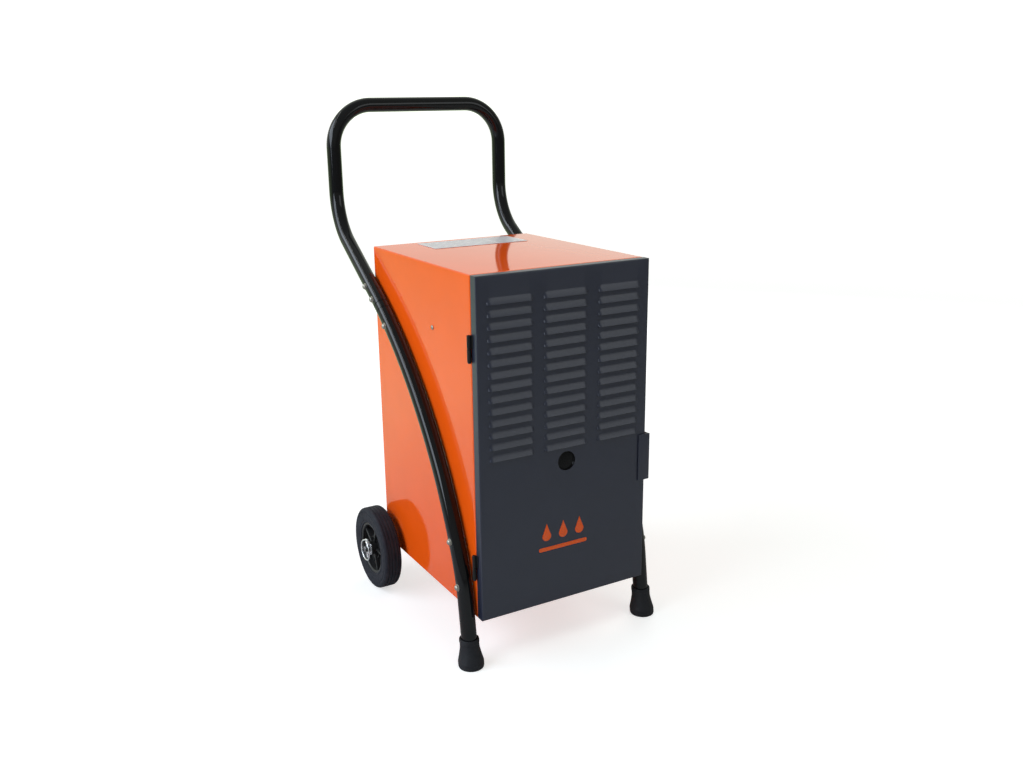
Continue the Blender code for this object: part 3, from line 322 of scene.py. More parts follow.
def washer(inner, outer, width, centre, sides):
    """A flat ring across the x axis with slightly chamfered edges."""
    half, edge = width / 2, 0.0003
    return ring([(inner, half), (outer - edge, half), (outer, half - edge)], centre, sides)


def rod(radius, reach, axis, centre, sides=48):
    """A plain cylinder, reaching as far each way from its centre."""
    return lathe(both_ways([(0, reach), (radius, reach)]), axis, centre, sides)


def plate(outline, thickness, holes=(), facing="Y", at=(0, 0, 0)):
    """A flat outline with holes, with a thickness about its plane."""
    curve = bpy.data.curves.new("plate", "CURVE")
    curve.dimensions = "2D"
    curve.fill_mode = "BOTH"
    curve.extrude = thickness / 2
    for line in (outline, *holes):
        add_spline(curve, [(x, y, 0) for x, y in line], cyclic=True)
    mesh = held(curve)
    mesh.transform(Matrix.Translation(at) @ FACING[facing])
    return welded(mesh)


def bar(points, radius, sides, cyclic=False):
    """A round bar along a line of points."""
    curve = bpy.data.curves.new("bar", "CURVE")
    curve.dimensions = "3D"
    curve.bevel_depth = radius
    curve.bevel_resolution = sides // 2 - 2
    curve.use_fill_caps = not cyclic
    add_spline(curve, points, cyclic)
    return welded(held(curve))


def add_spline(curve, points, cyclic):
    spline = curve.splines.new("POLY")
    spline.points.add(len(points) - 1)
    for point, place in zip(spline.points, points):
        point.co = (*place, 1)
    spline.use_cyclic_u = cyclic


def welded(mesh):
    shape = bmesh.new()
    shape.from_mesh(mesh)
    return to_mesh(shape)


def smooth_line(points, steps):
    """Points along a Catmull-Rom curve through the given ones."""
    points = [Vector(point) for point in points]
    padded = [2 * points[0] - points[1], *points, 2 * points[-1] - points[-2]]
    line = []
    for a, b, c, d in zip(padded, padded[1:], padded[2:], padded[3:]):
        square, cube = 2 * a - 5 * b + 4 * c - d, 3 * b - a - 3 * c + d
        for i in range(steps):
            t = i / steps
            line.append(0.5 * (2 * b + (c - a) * t + square * t**2 + cube * t**3))
    line.append(points[-1])
    return line


# Finishes -------------------------------------------------------------------------------


def feed(tree, socket, value):
    """Gives a socket a constant or another node's output."""
    if isinstance(value, bpy.types.NodeSocket):
        tree.links.new(value, socket)
    else:
        socket.default_value = value


def add_node(tree, kind, inputs, output, **settings):
    """The named output of a new shader node."""
    node = tree.nodes.new(kind)
    for name, value in settings.items():
        setattr(node, name, value)
    for name, value in inputs.items():
        feed(tree, node.inputs[name], value)
    return node.outputs[output]


def ranged(tree, source, low, high, start, end, **settings):
    """The source's values from start to end, spread over low to high."""
    limits = {"From Min": start, "From Max": end, "To Min": low, "To Max": high}
    return add_node(tree, "ShaderNodeMapRange", {"Value": source, **limits}, "Result", **settings)


def mixed(tree, factor, first, second, kind="RGBA"):
    """The first colour at a factor of 0 and the second at 1, or the same for numbers if kind is FLOAT."""
    a, b, result = {"FLOAT": (2, 3, 0), "RGBA": (6, 7, 2)}[kind]
    return add_node(tree, "ShaderNodeMix", {0: factor, a: first, b: second}, result, data_type=kind)


class Finish:
    """A Principled material whose colour, roughness and relief vary with noise fixed to the piece."""

    def __init__(self, name, color, roughness, metallic=0.0):
        self.name = name
        self.material = bpy.data.materials.new(name)
        self.material.use_nodes = True
        self.tree = self.material.node_tree
        self.shader = self.tree.nodes["Principled BSDF"]
        self.color = (*color, 1.0)
        self.set(Base_Color=self.color, Roughness=roughness, Metallic=metallic)
        self.place = add_node(self.tree, "ShaderNodeTexCoord", {}, "Object")

    def set(self, **values):
        """Feeds the shader's own sockets, named with _ for a space."""
        for name, value in values.items():
            feed(self.tree, self.shader.inputs[name.replace("_", " ")], value)
        return self

    def noise(self, scale, detail, stretch=None):
        place = self.place
        if stretch:
            place = add_node(self.tree, "ShaderNodeMapping", {"Vector": place, "Scale": stretch}, "Vector")
        inputs = {"Vector": place, "Scale": scale, "Detail": detail}
        return add_node(self.tree, "ShaderNodeTexNoise", inputs, "Fac")

    def cells(self, scale, output="Distance"):
        """Rounded cells: how far in a point is, or a colour for each."""
        return add_node(self.tree, "ShaderNodeTexVoronoi", {"Vector": self.place, "Scale": scale}, output)

    def tint(self, source, color, amount, start=0.3, end=0.7):
        """Mixes a colour in, by up to amount, where the source is high."""
        factor = ranged(self.tree, source, 0.0, amount, start, end)
        return self.set(Base_Color=mixed(self.tree, factor, self.color, (*color, 1.0)))

    def rough(self, source, low, high, start=0.3, end=0.7):
        return self.set(Roughness=ranged(self.tree, source, low, high, start, end))

    def relief(self, source, distance, strength):
        """Bumps of that height where the source is high."""
        inputs = {"Height": source, "Distance": distance, "Strength": strength}
        return self.set(Normal=add_node(self.tree, "ShaderNodeBump", inputs, "Normal"))


def gloss_paint(name, color, peel, ior):
    """Smooth baked enamel with a faint orange peel and slightly uneven gloss."""
    finish = Finish(name, color, 0.12).set(IOR=ior)
    finish.tint(finish.noise(9, 4), [c * 0.88 for c in color], 0.5)
    finish.rough(finish.noise(60, 5), 0.05, 0.10)
    return finish.relief(finish.noise(420, 2), peel, 0.35)


def satin_paint(name, color, roughness=0.42, specular=0.25):
    """Fine-textured powder coat."""
    finish = Finish(name, color, roughness).set(Specular_IOR_Level=specular)
    finish.tint(finish.noise(14, 4), [c * 1.25 for c in color], 0.35)
    finish.rough(finish.noise(700, 3), roughness - 0.06, roughness + 0.08)
    return finish.relief(finish.noise(1500, 2), 0.00006, 0.35)


def moulded(name, color, roughness, specular=0.5):
    """Moulded plastic with a fine spark-eroded grain."""
    finish = Finish(name, color, roughness).set(Specular_IOR_Level=specular)
    finish.tint(finish.noise(25, 3), [min(1, c * 1.2 + 0.003) for c in color], 0.4)
    finish.rough(finish.noise(300, 3), roughness - 0.07, roughness + 0.07)
    return finish.relief(finish.cells(1400), 0.00008, 0.3)


def rubber(name, color, dust, roughness=0.72):
    """Moulded rubber with fine specks and a little dust."""
    finish = Finish(name, color, roughness).set(Specular_IOR_Level=0.35)
    finish.tint(finish.noise(45, 6), dust, 0.28, 0.45, 0.75)
    finish.rough(finish.noise(180, 4), roughness - 0.1, roughness + 0.12)
    return finish.relief(finish.noise(900, 4), 0.00018, 0.5)


def metal(name, color, roughness, stretch=None):
    """Bare or plated metal, with fine scratches across the stretched axis."""
    grain = 500
    finish = Finish(name, color, roughness, 1.0)
    finish.tint(finish.noise(70, 4), [c * 0.8 for c in color], 0.5)
    finish.rough(finish.noise(grain, 4, stretch), roughness * 0.75, roughness * 1.3)
    return finish.relief(finish.noise(grain, 3, stretch), 0.00002, 0.4)


def make_finishes():
    made = [
        gloss_paint("black_gloss_paint", (0.0055, 0.0056, 0.0068), 0.00003, ior=1.38),
        gloss_paint("orange_gloss_paint", (0.96, 0.110, 0.0055), 0.000012, ior=1.50),
        anthracite_paint(),
        satin_paint("black_steel", (0.010, 0.010, 0.011), 0.36),
        satin_paint("compressor_black", (0.014, 0.014, 0.015), 0.28),
        metal("zinc_steel", (0.40, 0.385, 0.345), 0.42),
        metal("bright_steel", (0.92, 0.92, 0.95), 0.26),
        metal("axle_steel", (0.20, 0.20, 0.21), 0.34, (40, 1, 1)),
        metal("motor_steel", (0.34, 0.34, 0.35), 0.38, (1, 30, 1)),
        metal("copper_pipe", (0.78, 0.38, 0.24), 0.24),
        metal("fin_aluminium", (0.70, 0.71, 0.72), 0.30, (1, 1, 20)),
        moulded("black_plastic", (0.012, 0.012, 0.013), 0.42),
        moulded("fan_plastic", (0.055, 0.056, 0.060), 0.48),
        moulded("grey_plastic", (0.15, 0.155, 0.16), 0.5),
        moulded("label_print", (0.42, 0.39, 0.44), 0.4),
        moulded("float_plastic", (0.66, 0.045, 0.025), 0.38),
        moulded("knob_plastic", (0.028, 0.028, 0.030), 0.36),
        moulded("switch_red", (0.50, 0.016, 0.010), 0.22),
        moulded("smoked_lens", (0.002, 0.002, 0.0025), 0.24, specular=0.15),
        rubber("tyre_rubber", (0.0098, 0.0107, 0.0192), (0.048, 0.052, 0.062)),
        rubber("black_rubber", (0.0095, 0.0100, 0.0140), (0.040, 0.041, 0.045), 0.62),
        galvanised(),
        tank_plastic(),
        filter_foam(),
        silver_label(),
    ]
    return {finish.name: finish.material for finish in made}


def anthracite_paint():
    """The door's powder coat, with a thin satin lacquer."""
    finish = satin_paint("anthracite_paint", (0.0142, 0.0172, 0.0365), specular=0.5)
    return finish.set(Coat_Weight=0.35, Coat_Roughness=0.22)


def galvanised():
    """Zinc-coated sheet with its crystal spangle."""
    finish = Finish("galvanised_steel", (0.50, 0.51, 0.52), 0.42, 1.0)
    finish.tint(finish.cells(90, output="Color"), (0.66, 0.67, 0.69), 0.8, 0.0, 1.0)
    finish.rough(finish.cells(90, output="Color"), 0.3, 0.5, 0.0, 1.0)
    return finish.relief(finish.noise(600, 3), 0.00003, 0.4)


def tank_plastic():
    """Blow-moulded natural polyethylene, slightly see-through and waxy."""
    finish = Finish("tank_plastic", (0.74, 0.76, 0.75), 0.42)
    finish.set(Subsurface_Weight=0.35, Subsurface_Scale=0.012)
    finish.tint(finish.noise(18, 4), (0.62, 0.65, 0.65), 0.5)
    finish.rough(finish.noise(140, 4), 0.34, 0.52)
    return finish.relief(finish.noise(260, 3), 0.00012, 0.4)


def filter_foam():
    """Open-celled foam."""
    finish = Finish("filter_foam", (0.020, 0.020, 0.021), 0.95).set(Specular_IOR_Level=0.2)
    finish.tint(finish.cells(480), (0.002, 0.002, 0.002), 0.9, 0.0, 0.5)
    return finish.relief(finish.cells(480), 0.0012, 0.9)


def silver_label():
    """Brushed foil with a clear film on it."""
    finish = Finish("silver_label", (0.74, 0.67, 0.72), 0.34, 0.30)
    finish.tint(finish.noise(6, 3, (1, 60, 1)), (0.78, 0.79, 0.80), 0.6)
    finish.rough(finish.noise(40, 3, (1, 60, 1)), 0.28, 0.40)
    return finish.relief(finish.noise(30, 2), 0.00010, 0.3)


FINISHES = make_finishes()


def show(name, mesh, slot, *nodes, body=None, finish=None):
    """A piece that stands for these CAD nodes and moves with their body, or with the named one."""
    mesh.name = name
    mesh.materials.clear()
    mesh.materials.append(FINISHES[finish or slot])
    obj = bpy.data.objects.new(name, mesh)
    bpy.context.scene.collection.objects.link(obj)
    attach(obj, body or BODY_OF[nodes[0]])
    if nodes:
        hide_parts(*nodes)
    return obj


# Tube frame -----------------------------------------------------------------------------


def arch_point(angle, side):
    """A point on one tube's long arch, at an angle in degrees above the arch's centre."""
    turn = math.radians(angle)
    y = ARCH_CENTRE[0] - ARCH_RADIUS * math.cos(turn)
    z = ARCH_CENTRE[1] + ARCH_RADIUS * math.sin(turn)
    return Vector((side * TUBE_X, y, z))


def arch_line(low, high, count, side):
    return [arch_point(low + (high - low) * i / (count - 1), side) for i in range(count)]


def foot_line(side):
    """From the foot up to the start of the arch: a straight leg and a bend."""
    start = arch_point(ARCH_LOW_ANGLE, side)
    lean, steepest = math.radians(FOOT_LEAN), math.radians(ARCH_LOW_ANGLE)
    steps = 16
    bend = []
    for i in range(steps):
        turn = lean + (steepest - lean) * i / steps
        y = start.y - FOOT_BEND_RADIUS * (math.cos(turn) - math.cos(steepest))
        z = start.z - FOOT_BEND_RADIUS * (math.sin(steepest) - math.sin(turn))
        bend.append(Vector((start.x, y, z)))
    end_y = bend[0].y - (bend[0].z - TUBE_END) * math.tan(lean)
    leg = [bend[0].lerp(Vector((start.x, end_y, TUBE_END)), i / 8) for i in range(8, 0, -1)]
    return leg + bend


def handle_line(side):
    """One arm of the handle, from its lower end up to the top bar's corner."""
    arm = arch_line(JOINT_ANGLE + 0.02, ARCH_HIGH_ANGLE, 9, side)
    slope = math.radians(90 - ARCH_HIGH_ANGLE)
    end = arm[-1]
    corner_height = end.z + (HANDLE_REAR - end.y) * math.tan(slope)
    reach = HANDLE_BEND_RADIUS * math.tan((math.pi / 2 - slope) / 2)
    centre = (HANDLE_REAR - HANDLE_BEND_RADIUS, corner_height + reach)
    bend = arc(centre, HANDLE_BEND_RADIUS, math.degrees(slope) - 90, 0, 20)
    centre = (TUBE_X - HANDLE_CORNER_RADIUS, HANDLE_TOP - HANDLE_CORNER_RADIUS)
    corner = arc(centre, HANDLE_CORNER_RADIUS, 0, 90, 24)
    arm += [end.lerp(Vector((end.x, *bend[0])), i / 6) for i in range(1, 6)]
    arm += [Vector((end.x, y, z)) for y, z in bend]
    return arm + [Vector((side * x, HANDLE_REAR, z)) for x, z in corner]


def carriage_bolt(side, place, inner, nut):
    """A plated bolt with a flanged domed head on the tube's outboard face, and a nut inside the panel."""
    seat = TUBE_RADIUS - DIMPLE + GAP
    profile = dome(0.0054, 0.0046, seat + 0.0012, 8)
    profile += [(0.0063, seat + 0.0010), (0.0066, seat + 0.0005), (0.0066, seat)]
    profile += [(BOLT_RADIUS, seat), (BOLT_RADIUS, -inner), (0, -inner)]
    bolt = lathe(profile, "X", place, sides=32, flip=side < 0)
    if not nut:
        return bolt
    bore = BOLT_RADIUS + 0.0001
    panel = TUBE_X - SIDE + SHEET + GAP
    washer_at, nut_at = (place - Vector((side * (panel + depth), 0, 0)) for depth in (0.0005, 0.0034))
    nut = plate(circle(0.0057, 6), 0.0046, [circle(bore, 24)], "X", nut_at)
    return merged(bolt, washer(bore, 0.0072, 0.0010, washer_at, 32), nut)


def make_bolts(tube, kind, name, ends, inner, nut):
    """Bolts through a tube, whose outboard face is pressed in a little under each head."""
    side = SIDES[name]
    places = [middle(f"{kind}_bolt_{name}_{end}") for end in ends]
    for place in places:
        place.x = side * TUBE_X
    for vertex in tube.vertices:
        out = side * vertex.co.x - TUBE_X
        if out > -TUBE_RADIUS:
            nearest = min((vertex.co.yz - place.yz).length for place in places)
            limit = TUBE_RADIUS - DIMPLE * math.exp(-((nearest / DIMPLE_SPREAD) ** 2))
            vertex.co.x = side * (TUBE_X + min(out, limit))
    for end, place in zip(ends, places):
        bolt = carriage_bolt(side, place, inner, nut)
        show(f"{kind}_screw_{name}_{end}", bolt, "zinc_steel", f"{kind}_bolt_{name}_{end}")


def make_frame():
    """Both tubes and the handle they carry, with their bolts, sleeves and feet."""
    arms = [handle_line(-1), handle_line(1)]
    top = [arms[0][-1].lerp(arms[1][-1], i / 8) for i in range(1, 8)]
    handle = bar(arms[0] + top + arms[1][::-1], TUBE_RADIUS, 40)
    for name, side in SIDES.items():
        line = foot_line(side) + arch_line(ARCH_LOW_ANGLE, JOINT_ANGLE - COLLAR_ANGLE, 70, side)
        tube = bar(line, TUBE_RADIUS, 40)
        show(f"tube_{name}", tube, "black_gloss_paint", f"frame_tube_{name}")
        make_bolts(handle, "handle", name, ("upper", "lower"), TUBE_RADIUS - 0.001, False)
        through = TUBE_X - SIDE + SHEET + 0.006
        make_bolts(tube, "frame", name, ("upper", "middle", "lower"), through, True)
        make_collar(name, side)
        make_foot(name, side)
    show("push_handle", handle, "black_gloss_paint", "handle_bar")


def make_collar(name, side):
    """The sleeve between handle and frame, with a narrow groove at each end, and its spigots inside."""
    groove = math.degrees(0.0011 / ARCH_RADIUS)
    low, high = JOINT_ANGLE - COLLAR_ANGLE + groove, JOINT_ANGLE - groove
    spigot = 1.2  # degrees it reaches into each tube
    sleeve = bar(arch_line(low, high, 5, side), TUBE_RADIUS, 40)
    inside = bar(arch_line(low - spigot, high + spigot, 9, side), TUBE_RADIUS - 0.0021, 32)
    show(f"tube_sleeve_{name}", merged(sleeve, inside), "black_gloss_paint", f"tube_joint_{name}")


def make_foot(name, side):
    """A rubber ferrule that leans with the leg, with a rolled top, a waist and a flared, ribbed base."""
    bore = TUBE_RADIUS + GAP
    profile = [(bore, 0.0500), (bore + 0.0006, 0.0517), (0.0160, 0.0522), (0.0172, 0.0516)]
    profile += [(0.0177, 0.0500), (0.0177, 0.0455), (0.0172, 0.0448), (0.0173, 0.0370)]
    profile += [(0.0178, 0.0330), (0.0188, 0.0285), (0.0203, 0.0215), (0.0218, 0.0155)]
    profile += [(0.0226, 0.0125), (0.0230, 0.0105), (0.0230, 0.0088), (0.0226, 0.0080)]
    profile += [(0.0226, 0.0070), (0.0230, 0.0062), (0.0229, 0.0030), (0.0222, 0.0008)]
    profile += [(0.0210, 0.0), (0, 0.0), (0, 0.0060), (bore, 0.0060), (bore, 0.0500)]
    foot = lathe(profile, "Z", sides=56)
    lean = math.tan(math.radians(FOOT_LEAN))
    centre_y = extent(f"foot_{name}")[1][0] + 0.0230
    foot.transform(Matrix(((1, 0, 0, side * TUBE_X), (0, 1, lean, centre_y), (0, 0, 1, 0), (0, 0, 0, 1))))
    show(f"foot_ferrule_{name}", foot, "black_rubber", f"foot_{name}")


# Wheels ---------------------------------------------------------------------------------


def make_wheels():
    for name, side in SIDES.items():
        centre = Vector((side * WHEEL_X, WHEEL_Y, WHEEL_Z))
        show(f"tyre_{name}", tyre_mesh(centre), "tyre_rubber", f"wheel_tyre_{name}")
        show(f"hub_{name}", hub_mesh(side, centre), "black_plastic", f"wheel_hub_{name}")
        make_axle_end(name, side)
    end = extent("axle")[0][1]
    profile = both_ways([(0, end), (AXLE_RADIUS - 0.0012, end), (AXLE_RADIUS, end - 0.0012)])
    show("wheel_axle", lathe(profile, "X", (0, WHEEL_Y, WHEEL_Z), 40), "axle_steel", "axle")


def tyre_mesh(centre):
    """A solid rubber tyre: a beaded sidewall, round shoulders, and grooves round the tread."""
    half, radius, shoulder, groove = WHEEL_HALF, WHEEL_RADIUS, 0.0068, 0.0013
    right = [(RIM_RADIUS + GAP, half - 0.0030), (RIM_RADIUS + 0.0012, half - 0.0018)]
    right += [(RIM_RADIUS + 0.0040, half - 0.0016), (RIM_RADIUS + 0.0052, half - 0.0024)]
    right += [(RIM_RADIUS + 0.0064, half - 0.0014), (radius - 0.0140, half - 0.0002)]
    right += [(radius - 0.0105, half), (radius - 0.0098, half - 0.0008), (radius - 0.0090, half - 0.0003)]
    right += arc((radius - shoulder, half - shoulder), shoulder, 85, 12, 7)
    for x in (0.0098, 0.0034):
        right += [(radius - 0.0001, x + 0.0010), (radius - groove, x + 0.0006)]
        right += [(radius - groove, x - 0.0006), (radius - 0.0001, x - 0.0010), (radius, x - 0.0016)]
    return ring(right, centre, 96)


def hub_mesh(side, centre):
    """A moulded wheel centre: rim, boss and a dished web, open between ribbed spokes."""
    half, inner, boss_edge = WHEEL_HALF, RIM_RADIUS - 0.0048, BOSS_RADIUS - 0.001
    rim = [(inner, half - 0.0052), (inner + 0.0012, half - 0.0036)]
    rim += [(RIM_RADIUS - 0.0004, half - 0.0034), (RIM_RADIUS, half - 0.0040)]
    boss = [(AXLE_RADIUS + GAP, half), (boss_edge, half), (BOSS_RADIUS, half - 0.001)]
    turns = [2 * math.pi * i / SPOKES for i in range(SPOKES)]
    windows = [turned_outline(spoke_window(inner - 0.0030), turn) for turn in turns]
    web = plate(circle(inner + 0.001, 72), 0.0050, [circle(boss_edge, 24), *windows], "X")
    rib = block((-0.0105, 0.0105), (-0.0021, 0.0021), (boss_edge, inner + 0.001), 0.0009)
    ribs = [moved(rib, Matrix.Rotation(turn + math.pi / SPOKES, 4, "X")) for turn in turns]
    stiffener = ring([(0.0215, 0.0075), (0.0228, 0.0075)])
    hub = merged(ring(rim, sides=96), ring(boss), web, *ribs, stiffener)
    return moved(hub, Matrix.Translation(centre) @ Matrix.Rotation(math.radians(HUB_TURN * side), 4, "X"))


def spoke_window(outer):
    """The rounded opening between two spokes, about the angle 0."""
    inner, half = 0.0255, 180 / SPOKES
    return arc((0, 0), outer, half - 9, 9 - half, 8) + arc((0, 0), inner, 15 - half, half - 15, 4)


def turned_outline(outline, turn):
    c, s = math.cos(turn), math.sin(turn)
    return [(x * c - y * s, x * s + y * c) for x, y in outline]


def make_axle_end(name, side):
    """The washer outside the wheel, and the sprung linch pin that holds it."""
    disc = washer(AXLE_RADIUS + GAP, 0.0135, 0.0015, middle(f"axle_washer_{name}"), 48)
    show(f"washer_{name}", disc, "bright_steel", f"axle_washer_{name}")
    centre = Vector((middle(f"linch_pin_{name}").x, WHEEL_Y, WHEEL_Z))
    radius = 0.0024
    profile = [(0, 0.0165), (radius, 0.0165), (radius, -0.0165), (radius - 0.0009, -0.0190), (0, -0.0190)]
    shank = lathe(profile, "Z", centre, 24)
    profile = [(0, 0.0155), (0.0036, 0.0155), (0.0040, 0.0147), (0.0036, 0.0139), (0, 0.0139)]
    collar = lathe(profile, "Z", centre, 24)
    head = moved(block((-0.0027, 0.0027), (-0.0044, 0.0044), (0.0145, 0.0215), 0.0016), centre)
    show(f"linch_bolt_{name}", merged(shank, collar, head), "bright_steel", f"linch_pin_{name}")
    wire = bar([point + JOINT_AT[f"ring_{name}_flip"] for point in linch_loop(side)], 0.0014, 14, cyclic=True)
    show(f"linch_loop_{name}", wire, "bright_steel", f"linch_ring_{name}")


def linch_loop(side):
    """The spring ring's line: two eyes on the pin's head, and a loop that hangs outside the axle's end."""
    radius, start, steps = 0.0205, math.radians(14), 48
    line = [Vector((0, y, 0)) for y in (0.0062, 0.002, -0.002, -0.0062)]
    for i in range(steps + 1):
        turn = math.pi / 2 + start + 2 * (math.pi - start) * i / steps
        x = side * 0.0045 * min(1, 0.35 + i / 6, 0.35 + (steps - i) / 6)
        line.append(Vector((x, radius * math.cos(turn), radius * (math.sin(turn) - math.cos(start)))))
    return line


# Cabinet --------------------------------------------------------------------------------


def loft(rings):
    """A sheet through rows of points that match one for one."""
    shape = bmesh.new()
    rows = [[shape.verts.new(point) for point in points] for points in rings]
    for low, high in zip(rows, rows[1:]):
        pairs = list(zip(low, high))
        for (a, b), (c, d) in zip(pairs, pairs[1:]):
            shape.faces.new((a, b, d, c))
    return to_mesh(shape, outward=False)


def cover_sheet():
    """Top and both sides folded from one sheet, with a flange turned in round the front."""
    line = [(-SIDE, BOTTOM), (-SIDE, TOP - BEND - 0.01)]
    line += arc((BEND - SIDE, TOP - BEND), BEND, 180, 90, 6)
    line += arc((SIDE - BEND, TOP - BEND), BEND, 90, 0, 6)
    line += [(SIDE, TOP - BEND - 0.01), (SIDE, BOTTOM)]
    stages = [(0, COVER_REAR), (0, COVER_FRONT + BEND + 0.005)]
    stages += [(BEND * (1 - math.cos(a)), COVER_FRONT + BEND * (1 - math.sin(a))) for a in quarter_turn(6)]
    stages.append((FLANGE, COVER_FRONT))
    rings = []
    for inwards, y in stages:
        limit = SIDE - inwards
        rings.append([(max(-limit, min(limit, x)), y, min(z, TOP - inwards)) for x, z in line])
    return thickened(loft(rings), SHEET)


def make_cabinet():
    show("cover_sheet", cover_sheet(), "orange_gloss_paint", "cabinet_cover")
    make_panel_screw()
    make_label()
    make_rear_panel()
    x, y, _ = extent("base_tray")
    floor_z, wall = 0.0935, 0.0015
    tray = block(x, y, (BOTTOM, floor_z + 0.001), 0.0012, 2)
    hollow = block(inset(x, wall), inset(y, wall), (BOTTOM - 0.01, floor_z - 0.0005), 0.0008, 1)
    saddles = []
    for side in SIDES.values():
        saddle_x = sorted((side * (SIDE - 0.030), side * (SIDE - 0.006)))
        saddles.append(block(saddle_x, about(WHEEL_Y, 0.0105), (WHEEL_Z - 0.0105, floor_z), 0.0025))
    saddles = carved(merged(*saddles), rod(AXLE_RADIUS + GAP, 0.2, "X", (0, WHEEL_Y, WHEEL_Z)))
    show("base_sheet", merged(carved(tray, hollow), saddles), "orange_gloss_paint", "base_tray")


def make_panel_screw():
    """A domed screw with a cross recess."""
    profile = [*dome(0.0041, 0.0020, 0.0004, 6), (0.0041, 0.0), (0.0022, 0.0), (0.0022, -0.007), (0, -0.0095)]
    screw = lathe(profile, "X", sides=32, flip=True)
    slots = [
        block((-0.003, -0.0011), about(0, y), about(0, z), 0.0001, 1)
        for y, z in ((0.0019, 0.0004), (0.0004, 0.0019))
    ]
    centre = middle("panel_screw")
    centre.x = -SIDE - GAP
    show("cover_screw", moved(carved(screw, *slots), centre), "zinc_steel", "panel_screw")


def make_label():
    """A silver plate near the back of the top, with plain grey bars for print."""
    x, y, _ = extent("rating_label")
    base, thickness = TOP + GAP, 0.0004
    label = plate(rounded_outline(x, y, 0.003), thickness, facing="Z", at=(0, 0, base + thickness / 2))
    show("label_plate", label, "silver_label", "rating_label")
    top = base + thickness
    left, right = inset(x, 0.008)
    front, rear = inset(y, 0.010)
    bars = []
    rows = 7
    for row in range(rows):
        line_y = rear - row * (rear - front) / (rows - 1)
        start = left
        column = 0
        while start < right - 0.006:
            length = 0.012 + 0.010 * ((row * 5 + column * 3) % 4)
            end = min(start + length, right)
            bars.append(block((start, end), about(line_y, 0.0010), (top - 0.0001, top + 0.00008), 0.00004, 1))
            start = end + 0.006
            column += 1
    show("label_bars", merged(*bars), "silver_label", body="machine", finish="label_print")


def make_rear_panel():
    """The back: a flat sheet with side flanges and rows of long slots, and openings for the fittings."""
    x, y, z = extent("rear_panel")
    holes = []
    for row in range(9):
        base = 0.400 + row * 0.0185
        for slot_x in ((-0.128, -0.006), (0.006, 0.128)):
            holes.append(rounded_outline(slot_x, (base, base + 0.006), 0.0029))
    panel_x, _, panel_z = extent("control_panel")
    holes.append(rounded_outline(inset(panel_x, 0.008), inset(panel_z, 0.008), 0.002))
    inlet = middle("cord_inlet")
    holes.append(circle(0.0085, 24, (inlet.x, inlet.z)))
    pieces = [plate(rounded_outline(x, z, 0.002), SHEET, holes, "Y", (0, y[1] - SHEET / 2, 0))]
    for edge in ((x[0], x[0] + SHEET), (x[1] - SHEET, x[1])):
        pieces.append(block(edge, (y[0], y[1] - 0.0002), z, 0.0004, 2))
    show("back_sheet", merged(*pieces), "orange_gloss_paint", "rear_panel")
    profile = [*dome(0.0038, 0.0022, GAP, 5), (0, GAP)]
    screws = []
    for screw_x in inset(x, 0.010):
        for screw_z in (z[0] + 0.018, (z[0] + z[1]) / 2, z[1] - 0.010):
            screws.append(lathe(profile, "Y", (screw_x, y[1], screw_z), 24))
    show("back_screws", merged(*screws), "zinc_steel", body="machine")


# Door -----------------------------------------------------------------------------------


def louver_rise(x, z, above):
    """How far the door stands out at a point. On a louver's open edge, above picks its hood."""
    across = max(LOUVER_LENGTH / 2 - abs(x - column) for column in LOUVER_COLUMNS)
    for row in range(LOUVER_ROWS):
        up = (z - LOUVER_FIRST + row * LOUVER_PITCH) / LOUVER_HEIGHT
        if -TINY < up < 1 + TINY:
            if up < TINY and not above:
                return 0.0
            corner = LOUVER_CORNER * (1 - math.sqrt(max(0, 1 - up**2)))
            reach = min(1, (across - corner) / LOUVER_END)
            if reach <= TINY:
                return 0.0
            return LOUVER_RISE * math.sqrt(1 - (1 - reach) ** 2) * max(0, 1 - up) ** 1.3
    return 0.0


def door_lines():
    """Grid lines across and up the door, closer together where a louver curves."""
    xs = [BEND - SIDE, SIDE - BEND]
    for column in LOUVER_COLUMNS:
        for i in range(LOUVER_END_STEPS + 1):
            share = 1 - math.cos(math.pi / 2 * i / LOUVER_END_STEPS)
            reach = LOUVER_LENGTH / 2 - (LOUVER_END + LOUVER_CORNER) * share
            xs += [column - reach, column + reach]
    zs = [BOTTOM + BEND, TOP - BEND, 0.16, 0.25, 0.33]
    for row in range(LOUVER_ROWS):
        for i in range(LOUVER_STEPS + 1):
            zs.append(LOUVER_FIRST - row * LOUVER_PITCH + LOUVER_HEIGHT * i / LOUVER_STEPS)
    return sorted(xs), sorted(zs)


def door_sheet():
    """One sheet with its edges folded back and the louvers pressed out, slit along their lower edges."""
    xs, zs = door_lines()
    shape = bmesh.new()
    corners = {}

    def corner(i, j, above):
        rise = louver_rise(xs[i], zs[j], above)
        key = (i, j, rise > 0)
        if key not in corners:
            corners[key] = shape.verts.new((xs[i], FACE - rise, zs[j]))
        return corners[key]

    for i in range(len(xs) - 1):
        for j in range(len(zs) - 1):
            low = (corner(i, j, True), corner(i + 1, j, True))
            high = (corner(i + 1, j + 1, False), corner(i, j + 1, False))
            shape.faces.new((*low, *high))
    fold_edges_back(shape)
    return smoothed(thickened(to_mesh(shape, outward=False), SHEET), 50)


